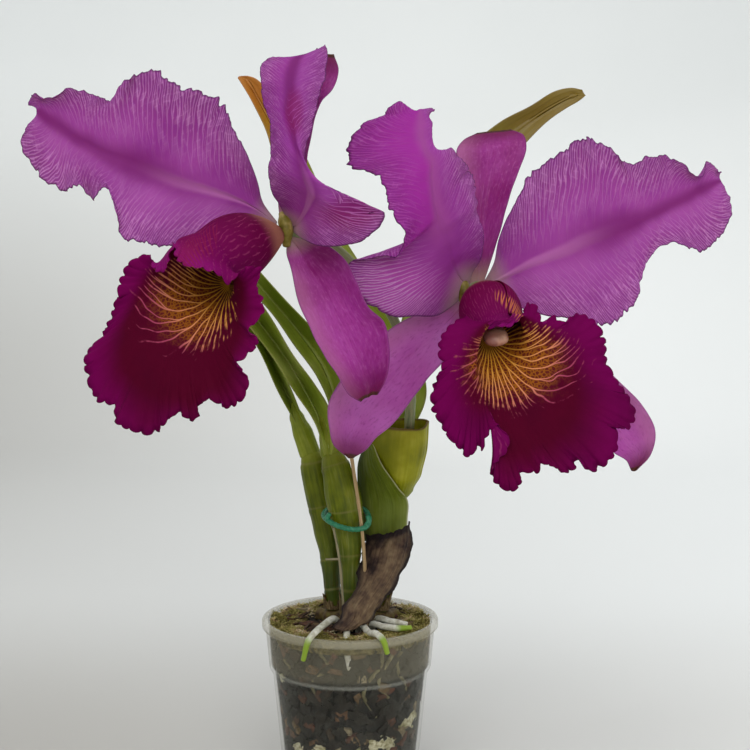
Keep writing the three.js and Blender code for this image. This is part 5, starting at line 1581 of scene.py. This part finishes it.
def sepal_finish(name, deep, light):
    finish = Finish(name, 0.5, 0.16, Subsurface_Weight=0.05)
    across, along_it = finish.across_along()
    fibre = finish.fibre(34.0, 6.0, 4.0, 0.6)
    mottle = finish.fibre(24.0, 30.0, 3.0, 0.6)
    cloud = finish.noise(finish.place(), 36.0, 3.0)
    finish.lay(finish.mix(cloud.between(0.3, 0.7), deep, light))
    finish.coat(fibre.between(0.45, 0.75) * 0.2, (184, 100, 172))
    finish.coat(mottle.between(0.5, 0.75) * 0.45, (120, 20, 100))
    finish.coat((1 - mottle.between(0.25, 0.5)) * 0.25, (192, 104, 178))
    finish.coat((1 - across.between(0.05, 0.4)) * along_it.between(0.1, 0.3) * 0.3, (196, 130, 160))
    finish.coat((1 - along_it.between(0.0, 0.16)) * 0.7, (176, 150, 130))
    finish.coat((along_it + (cloud - 0.5) * 0.15).between(0.76, 0.97) * 0.85, (92, 16, 62))
    finish.coat(along_it.between(0.96, 0.98), (58, 34, 30))
    finish.coat(abs(across * 2.0 - 1.0).between(0.95, 1.0) * 0.5, (120, 44, 112))
    finish.bump(fibre, 0.4, 0.5)
    return finish


deep_sepal = sepal_finish("deep_sepal", (122, 20, 102), (152, 46, 138))
# Painted light: the lateral sepals of the right flower, which hang towards the floor, take a lighter copy of
# the same finish, painted as lit.
lit_sepal_copy = sepal_finish("lit_sepal_copy", (174, 74, 164), (200, 106, 194))
for number, (node, stations) in enumerate(SEPALS.items()):
    side = node.split("_")[0]
    grid = sepal_grid(np.add(stations, FLOWER_CENTRES[side]), number + 40)
    piece = sheet_mesh(node + "_blade", grid, thinned(grid, SEPAL_THICKNESS))
    gets_lit_copy = node.startswith("right_flower_lateral")
    dress(piece, "petal_pink", [lit_sepal_copy if gets_lit_copy else deep_sepal], node)

# ================================================================ lips
# The lip is rolled into a trumpet round the column, its two side lobes overlapping on top, and opens into a
# frilled velvet front. Gold veins fork outwards over the dark throat and fade before the purple margin.
LIP_THICKNESS = 0.7
LIP_FOOT_RADIUS = 3.4
LIP_OVERLAP = 0.035
LIP_REACH = 0.4
LIP_FRILL = 1.0
LIP_TUBE = 0.35
LOBE_LENGTH = 4.8
LOBE_DEPTH = 2.6
LIP_ROWS, LIP_COLS = 48, 560
# "turn" gives pairs of a share of the margin and an angle round the tube in degrees.
LIPS = {
    "left": {
        "foot": (-2.5, -4.5, -0.5),
        "mouth": (-29, -30, -15.5),
        "mouth_radius": 15,
        "belly": 7,
        "roll": 0.8,
        "turn": [[0, -8], [0.04, 15], [0.09, 74], [0.8, 235], [1, 368]],
        "margin": [
            (-43, -43, -7), (-44, -44, -12), (-47, -40, -17), (-52, -34, -16), (-55, -30, -10),
            (-62, -27, -12), (-67, -26, -19), (-69, -26, -27), (-72, -25, -34), (-76, -25, -44),
            (-82, -26, -51), (-82, -29, -61), (-77, -33, -71), (-70, -36, -73), (-67, -38, -80),
            (-60, -41, -83), (-52, -43, -84), (-46, -45, -79), (-41, -46, -75), (-34, -48, -78),
            (-31, -49, -70), (-27, -50, -69), (-20, -52, -72), (-13, -54, -68), (-11, -54, -59),
            (-16, -54, -54), (-9, -54, -49), (-7, -53, -45), (-10, -53, -40), (-5, -52, -34),
            (-6, -50, -28), (-8, -47, -23), (-6, -42, -16), (-11, -45, -15), (-15, -48, -18),
            (-19, -51, -22), (-23, -55, -18), (-28, -56, -16), (-35, -53, -15), (-40, -49, -12),
            (-42, -45, -5),
        ],
        "seed": 5,
    },
    "right": {
        "foot": (0.8, -4.6, -1),
        "mouth": (6, -34, -19),
        "mouth_radius": 12,
        "belly": 8.6,
        "roll": 2.4,
        "turn": [[0, -32], [1, 342]],
        "margin": [
            (4, -42, -16), (-1, -41, -15), (-5, -40, -14), (-8, -40, -11), (-12, -42, -12), (-18, -44, -18),
            (-20, -46, -25), (-18, -47, -31), (-22, -48, -39), (-23, -49, -48), (-19, -50, -56),
            (-15, -51, -62), (-11, -52, -66), (-7, -52, -70), (-3, -53, -66), (-1.5, -53, -67),
            (0.3, -53, -61.5), (4.5, -54, -56.5), (9.5, -54, -60.5), (9.4, -55, -66), (2.5, -56, -74.5),
            (4.5, -56, -81), (11, -56, -84),
            (15, -56, -80), (16, -55, -76), (22, -54, -77), (24, -54, -73), (29, -53, -74), (35, -51, -77),
            (39, -50, -75), (41, -49, -71), (46, -47, -77), (52, -45, -75), (58, -42, -68), (59, -40, -59),
            (64, -37, -60), (68, -34, -52), (62, -32, -43), (56, -31, -33), (54, -31, -22), (50, -32, -13),
            (42, -33, -9), (36, -35, -13), (31, -35, -10), (26, -37, -14), (24, -36, -7), (20, -36, -4),
            (17, -39, -9), (14, -42, -13), (9, -44, -15), (5, -44, -14),
        ],
        "seed": 9,
    },
}
# Where the gold veins of each lip start, and the middle and half size of the patch they fill, as (x, z).
# Veins show again on the outside of the hood, in the part of a ring that lies on one side of its middle.
GOLD = {
    "left": {
        "source": (-49, 261), "middle": (-67, 250), "half": (21, 18),
        "hood": (-49, 261), "ring": (11.5, 23), "towards": -1, "hood_colour": (124, 22, 62),
        "purple_from": 0.84, "skin": (88, 2, 48),
    },
    "right": {
        "source": (64, 235), "middle": (76, 224), "half": (28, 17),
        "hood": (62.6, 240), "ring": (12.5, 16.5), "towards": 1, "hood_colour": (206, 118, 66),
        "purple_from": 0.8, "skin": (98, 3, 52),
    },
}
VEIN_COUNT = 21
VEIN_BEND = 32.0


def lip_lobes(along_edge, seed):
    """Rounded lobes of uneven size along the margin, with narrow nicks between them. It takes and gives
    millimetres: how far along the margin, and how far out from its even line."""
    pace = along_edge / LOBE_LENGTH + 0.25 * edge_wave(along_edge / 250, 13, seed + 8)
    lobe = np.abs(np.sin(math.pi * pace)) ** 0.6
    size = 0.7 + 0.3 * edge_wave(along_edge / 250, 11, seed + 4)
    return LOBE_DEPTH * (lobe - 0.75) * size


def evened(line, share):
    """The same line with every wiggle shorter than a share of it averaged away."""
    reach = int(len(line) * share / 2)
    weights = np.hanning(2 * reach + 3)[1:-1]
    padded = np.pad(line, ((reach, reach), (0, 0)), mode="edge")
    return np.stack([np.convolve(padded[:, k], weights / weights.sum(), "valid") for k in range(3)], -1)


def lip_lines(lip, q, start, end, outward):
    """The ring at the foot, the ring at the mouth, and the margin without and with its lobes."""
    overlap = (2 * q - 1)[:, None]
    on_foot = start + outward * LIP_FOOT_RADIUS * (1 + 0.13 * overlap)
    on_mouth = end + outward * lip["mouth_radius"] * (1 + LIP_OVERLAP * overlap)
    edge = curve(lip["margin"], q)
    run = np.gradient(evened(edge, 0.03), axis=0)
    pace = np.linalg.norm(run, axis=1)[:, None]
    run = run / pace
    outwards = edge - on_mouth
    outwards = outwards - run * (outwards * run).sum(1)[:, None]
    outwards = outwards / np.linalg.norm(outwards, axis=1)[:, None]
    lobed = edge + outwards * lip_lobes(np.cumsum(pace), lip["seed"])[:, None]
    return on_foot, on_mouth, evened(edge, 0.2), lobed


def lip_grid(lip):
    """The tube runs straight from foot to mouth, and the front curves on from it to the margin."""
    start, end = np.array(lip["foot"], float), np.array(lip["mouth"], float)
    axis = (end - start) / np.linalg.norm(end - start)
    up = np.array([0, 0, 1.0]) - axis * axis[2]
    up /= np.linalg.norm(up)
    left = np.cross(axis, up)
    q = np.linspace(0, 1, LIP_COLS + 1)
    rho = np.linspace(0, 1, LIP_ROWS + 1)[:, None]
    stops = np.array(lip["turn"], float)
    a = np.radians(np.interp(q, stops[:, 0], stops[:, 1]))
    outward = np.cos(a)[:, None] * up + np.sin(a)[:, None] * left
    on_foot, on_mouth, even, lobed = lip_lines(lip, q, start, end, outward)
    reach = np.linalg.norm(even - on_mouth, axis=1)[:, None]
    bend = on_mouth + axis * LIP_REACH * reach + outward * 1.5
    t = np.clip(rho / LIP_TUBE, 0, 1)
    swell = lip["belly"] * np.sin(math.pi * t**0.9) * (0.6 + 0.4 * np.cos(a))[None, :]
    tube = on_foot[None] * (1 - t)[..., None] + on_mouth[None] * t[..., None]
    tube = tube + outward[None] * swell[..., None]
    w = np.clip((rho - LIP_TUBE) / (1 - LIP_TUBE), 0, 1)[..., None]
    front = on_mouth[None] * (1 - w) ** 2 + bend[None] * 2 * w * (1 - w) + even[None] * w**2
    front = front + (lobed - even)[None] * w**8
    grid = np.where((rho <= LIP_TUBE)[..., None], tube, front)
    open_front = (step(q, 0.06, 0.16) * step(1 - q, 0.08, 0.24))[None, :]
    hood = (step(-q, -0.09, -0.02) + step(q, 0.9, 0.97))[None, :]
    roll = np.sin(math.pi * np.clip((rho - 0.5) / 0.5, 0, 1))
    grid = grid + (outward[None] * lip["roll"] + axis * 2.0) * (hood * roll)[..., None]
    grid = raised(grid, LIP_FRILL * open_front * rho**8 * edge_wave(q, 9, lip["seed"]))
    curl = 0.9 * rho**14 * edge_wave(q, 23, lip["seed"] + 2)
    curl = curl + 0.6 * rho**22 * edge_wave(q, 46, lip["seed"] + 6)
    return raised(grid, curl * (0.3 + 0.7 * open_front))


def gold_veins(finish, source):
    """Fine veins that leave the source in every direction, curve upwards and fork twice. Gives how much of a
    vein a point is on and its distance from the source in metres."""
    place = finish.xyz()
    wander = finish.noise(finish.place(), 85.0, 1.0)
    x = place[0] - source[0] * MM
    rise = place[2] - source[1] * MM
    far = (x * x + rise * rise) ** 0.5
    curved = x * x * VEIN_BEND
    straight = rise - curved
    lane = x.math("ARCTAN2", x, straight * -1.0) * (VEIN_COUNT / math.pi) + wander * 0.5
    within = abs(lane.fraction() * 2.0 - 1.0)
    uneven = far + (wander - 0.5) * 12 * MM
    within = abs(within - uneven.between(12 * MM, 21 * MM) * 0.5)
    within = abs(within - uneven.between(24 * MM, 36 * MM) * 0.25)
    slope = straight + curved * 2.0
    apart = (x * x + straight * straight) / ((x * x + slope * slope) ** 0.5)
    beside = within * apart * (math.pi / VEIN_COUNT / 2)
    return 1 - beside.between(0.08 * MM, 0.4 * MM), far


def lip_inside_finish(name, gold):
    finish = Finish(name, 0.7, 0.04)
    around, out = finish.across_along()
    vein, far = gold_veins(finish, gold["source"])
    ragged = finish.noise(finish.place(), 300.0, 2.0)
    inside = patch_of(finish, gold["middle"], gold["half"], ragged)
    cloud = finish.noise(finish.place(), 55.0, 3.0)
    outer = out + abs(around * 2.0 - 1.0) * 0.25 - 0.1 + (cloud - 0.5) * 0.08
    finish.lay(finish.mix(outer.between(gold["purple_from"], 1.0), (76, 0, 30), (106, 0, 72)))
    finish.coat(cloud.between(0.4, 0.75) * 0.3, (56, 0, 26))
    glow = inside.between(0.0, 0.6) * (1 - far.between(20 * MM, 44 * MM))
    finish.coat(glow * 0.4, (120, 60, 8))
    sockets = {"Vector": finish.place(), "Scale": 620.0}
    cell = finish.node("ShaderNodeTexVoronoi", {"feature": "DISTANCE_TO_EDGE"}, sockets)["Distance"]
    finish.coat((1 - cell.between(0.03, 0.2)) * glow * 0.7, (164, 98, 20))
    line = finish.mix(far.between(10 * MM, 24 * MM), (214, 152, 50), (216, 138, 92))
    line = finish.mix(far.between(22 * MM, 36 * MM), line, (160, 62, 92))
    behind = (finish.xyz()[0] - gold["source"][0] * MM) * -gold["towards"]
    line = finish.mix(behind.between(2 * MM, 9 * MM) * 0.85, line, (150, 54, 84))
    drawn = vein * inside.between(-0.15, 0.2)
    finish.coat(drawn, line)
    finish.bump(drawn, 0.4, 0.5)
    return finish


def lip_outside_finish(name, gold):
    finish = Finish(name, 0.7, 0.06)
    around, out = finish.across_along()
    wander = finish.noise(finish.place(), 90.0, 3.0)
    lane = around * 72.0 + wander * 3.2
    hair = 1 - abs(lane.fraction() * 2.0 - 1.0).between(0.05, 0.4)
    broken = finish.fibre(90.0, 24.0, 2.0).between(0.42, 0.62)
    finish.lay(finish.mix(out.between(0.05, 0.5), gold["skin"], (104, 0, 72)))
    finish.coat(hair * broken * 0.26, (180, 70, 120))
    # The rolled hood edge: the purple of the lip's margin, with painted highlight on the roll.
    roll = (1 - around.between(0.06, 0.16)).most(around.between(0.84, 0.94)) * out.between(0.7, 0.95)
    finish.coat(roll * 0.6, (136, 12, 108))
    streak, _ = gold_veins(finish, gold["source"])
    place = finish.xyz()
    x = (place[0] - gold["hood"][0] * MM) * gold["towards"]
    z = place[2] - gold["hood"][1] * MM
    reach = (x * x + z * z) ** 0.5 + (wander - 0.5) * 6 * MM
    inner, outer = (radius * MM for radius in gold["ring"])
    soft = (outer - inner) * 0.3
    band = reach.between(inner - soft, inner + soft) * (1 - reach.between(outer - soft, outer + soft))
    band = band * x.between(1 * MM, 5 * MM) * z.between(-2 * MM, 2 * MM)
    finish.coat(streak * band * 0.75, gold["hood_colour"])
    finish.coat(1 - out.between(0.05, 0.16), (158, 102, 84))
    finish.bump(hair * broken, 0.3, 0.5)
    return finish


for side, lip in LIPS.items():
    grid = lip_grid(lip) + np.array(FLOWER_CENTRES[side], float)
    rho, _ = across_and_along(grid)
    thickness = LIP_THICKNESS * (0.35 + 0.65 * step(1 - rho, 0.0, 0.25))
    piece = sheet_mesh(f"{side}_flower_lip_trumpet", grid, thickness, back_shade=1)
    inside = lip_inside_finish(f"lip_inside_{side}", GOLD[side])
    outside = lip_outside_finish(f"lip_outside_{side}", GOLD[side])
    dress(piece, "lip_purple", [inside, outside], f"{side}_flower_lip")

# ================================================================ columns
# The column is the fused heart of the flower, a pale waxy club that lies in the roof of the lip. Its anther
# cap closes the end like a small tooth past a pink groove, and an olive foot joins it to the ovary.
COLUMNS = {
    "left": {
        "path": [(-1.3, -2, 0.6), (-6.5, -9, -3), (-15, -17, -6), (-22, -24, -9.5)],
        "radii": [1.9, 2.4, 3.2, 4],
        "foot": [(-1, -3, 8.5), (0.8, -4.6, 3), (1.2, -3.8, -5.5)],
    },
    "right": {
        "path": [(0.5, -2, -0.1), (2, -12, -4.5), (4, -23, -12.5), (6.5, -33, -21)],
        "radii": [2, 2.7, 3.8, 5],
        "foot": [(-7, -2.4, 7), (-6, -3.4, 0), (-4, -3.4, -9)],
    },
}
COLUMN_FLAT = 0.62
FOOT_RADII = [1.4, 2.9, 3.2, 1.8]
CAP_GROOVE = 0.86


def column_relief(a, t):
    cap = 0.5 * np.exp(-(((t - 0.93) / 0.05) ** 2)) - 0.4 * np.exp(-(((t - CAP_GROOVE) / 0.02) ** 2))
    wings = 0.35 * np.cos(2 * a) * step(t, 0.3, 0.8)
    return cap + wings


def column_finish():
    finish = Finish("waxy_column", 0.4, 0.45, Subsurface_Weight=0.1)
    around, along_it = finish.across_along()
    mottle = finish.noise(finish.place(), 240.0, 3.0)
    finish.lay(finish.ramp(mottle, (0.35, 158, 104, 88), (0.6, 194, 144, 122)))
    # Painted shade: one side of the club is painted darker, as the side in shadow.
    finish.coat((1 - around.between(0.25, 0.6)) * 0.6, (132, 66, 72))
    finish.coat((1 - along_it.between(0.15, 0.5)) * 0.8, (132, 136, 70))
    finish.coat((1 - abs(along_it - CAP_GROOVE).between(0.0, 0.03)) * 0.7, (150, 70, 96))
    finish.bump(mottle, 0.4, 0.4)
    return finish


foot_colours = [(0.35, 82, 70, 14), (0.5, 112, 100, 34), (0.65, 150, 130, 76)]
column_foot = grained("column_foot", 0.5, 0.25, (190.0, 3.0), foot_colours, (0.4, 0.4))
for side, column in COLUMNS.items():
    path, foot_path = (np.add(column[key], FLOWER_CENTRES[side]) for key in ("path", "foot"))
    club = limb(f"{side}_flower_column_club", path, column["radii"], 32, 60, COLUMN_FLAT, column_relief)
    dress(club, "column_cream", [column_finish()], f"{side}_flower_column")
    foot = limb(f"{side}_flower_column_foot", foot_path, FOOT_RADII, 24, 40)
    dress(foot, "stalk_green", [column_foot])

# ================================================================ floor, light and camera
# A pale matt sweep runs under the pot and up behind it on every side. Three soft boxes and a pale sky light
# the plant, and a fourth soft box lights the paper behind it.
SWEEP_FLAT = 1300
SWEEP_REACH = 2300
SWEEP_HEIGHT = 2000
SWEEP_DROP = 0.2
# Each lamp's place and what it points at, in metres, then its width and its power in watts.
LAMPS = {
    "key_light": ((-0.5, -1.0, 1.5), (0, 0, 0.22), 1.0, 7.5),
    "front_light": ((0.3, -1.3, 0.85), (0, 0, 0.25), 0.9, 5.5),
    "back_light": ((0.2, 1.3, 1.4), (0, 0, 0.3), 1.0, 4),
    "paper_light": ((0.0, 1.2, 0.9), (0.0, 2.3, 0.7), 0.8, 1.4),
}
SKY_COLOUR = (0.93, 0.96, 1.0, 1)
SKY_STRENGTH = 0.69
CAMERA_PLACE = (0.013, -0.650, 0.265)
CAMERA_DOWN_DEGREES = 4.67
LENS_MM = 60.72
SENSOR_MM = 36


def sweep():
    around = 96
    a = circle(around)
    bend = np.linspace(0, math.pi / 2, 24)[1:]
    radii = [400, 800, SWEEP_FLAT, *(SWEEP_FLAT + (SWEEP_REACH - SWEEP_FLAT) * np.sin(bend))]
    heights = [0, 0, 0, *(SWEEP_HEIGHT * (1 - np.cos(bend)))]
    round_it = np.stack([np.cos(a), np.sin(a), 0 * a], -1)
    rings = [r * round_it + (0, 0, z) for r, z in zip(radii, heights)]
    places = np.concatenate(rings + [np.zeros((1, 3))])
    faces = ring_faces(len(rings), around)[:, ::-1].tolist()
    faces += [(len(places) - 1, i, (i + 1) % around) for i in range(around)]
    return mesh_object("sweep", places - (0, 0, SWEEP_DROP), faces)


def sweep_finish():
    """Pale paper, with painted shade greying the near part of the floor and its left."""
    finish = Finish("sweep_paper", 0.9, 0.1)
    tooth = finish.noise(finish.place(), 2.0, 2.0)
    x, y, z = (finish.xyz()[k] for k in range(3))
    wall = finish.mix(tooth, (238, 240, 238), (248, 249, 247))
    far = finish.mix(x.between(-0.9, 0.6), (196, 194, 189), (247, 248, 246))
    near = finish.mix(x.between(-0.25, 0.3), (182, 179, 173), (230, 229, 225))
    finish.lay(finish.mix(z.between(0.0, 0.7), finish.mix(y.between(0.0, 0.4), near, far), wall))
    return finish


def soft_box(name, place, aim, width, power):
    light = bpy.data.lights.new(name, "AREA")
    light.shape = "DISK"
    light.size = width
    light.energy = power
    lamp = bpy.data.objects.new(name, light)
    bpy.context.scene.collection.objects.link(lamp)
    lamp.location = place
    to_aim = Vector(aim) - Vector(place)
    lamp.rotation_euler = to_aim.to_track_quat("-Z", "Y").to_euler()
    lamp.visible_camera = False


floor = sweep()
floor.data.materials.append(sweep_finish().material)

for name, lamp in LAMPS.items():
    soft_box(name, *lamp)

world = bpy.data.worlds.new("sky")
world.use_nodes = True
sky = world.node_tree.nodes["Background"].inputs
sky["Color"].default_value = SKY_COLOUR
sky["Strength"].default_value = SKY_STRENGTH
bpy.context.scene.world = world
bpy.context.scene.view_settings.view_transform = "Standard"

eye = bpy.data.cameras.new("eye")
eye.sensor_width = SENSOR_MM
eye.lens = LENS_MM
camera = bpy.data.objects.new("eye", eye)
camera.location = CAMERA_PLACE
camera.rotation_euler = (math.radians(90 - CAMERA_DOWN_DEGREES), 0, 0)
bpy.context.scene.collection.objects.link(camera)
bpy.context.scene.camera = camera
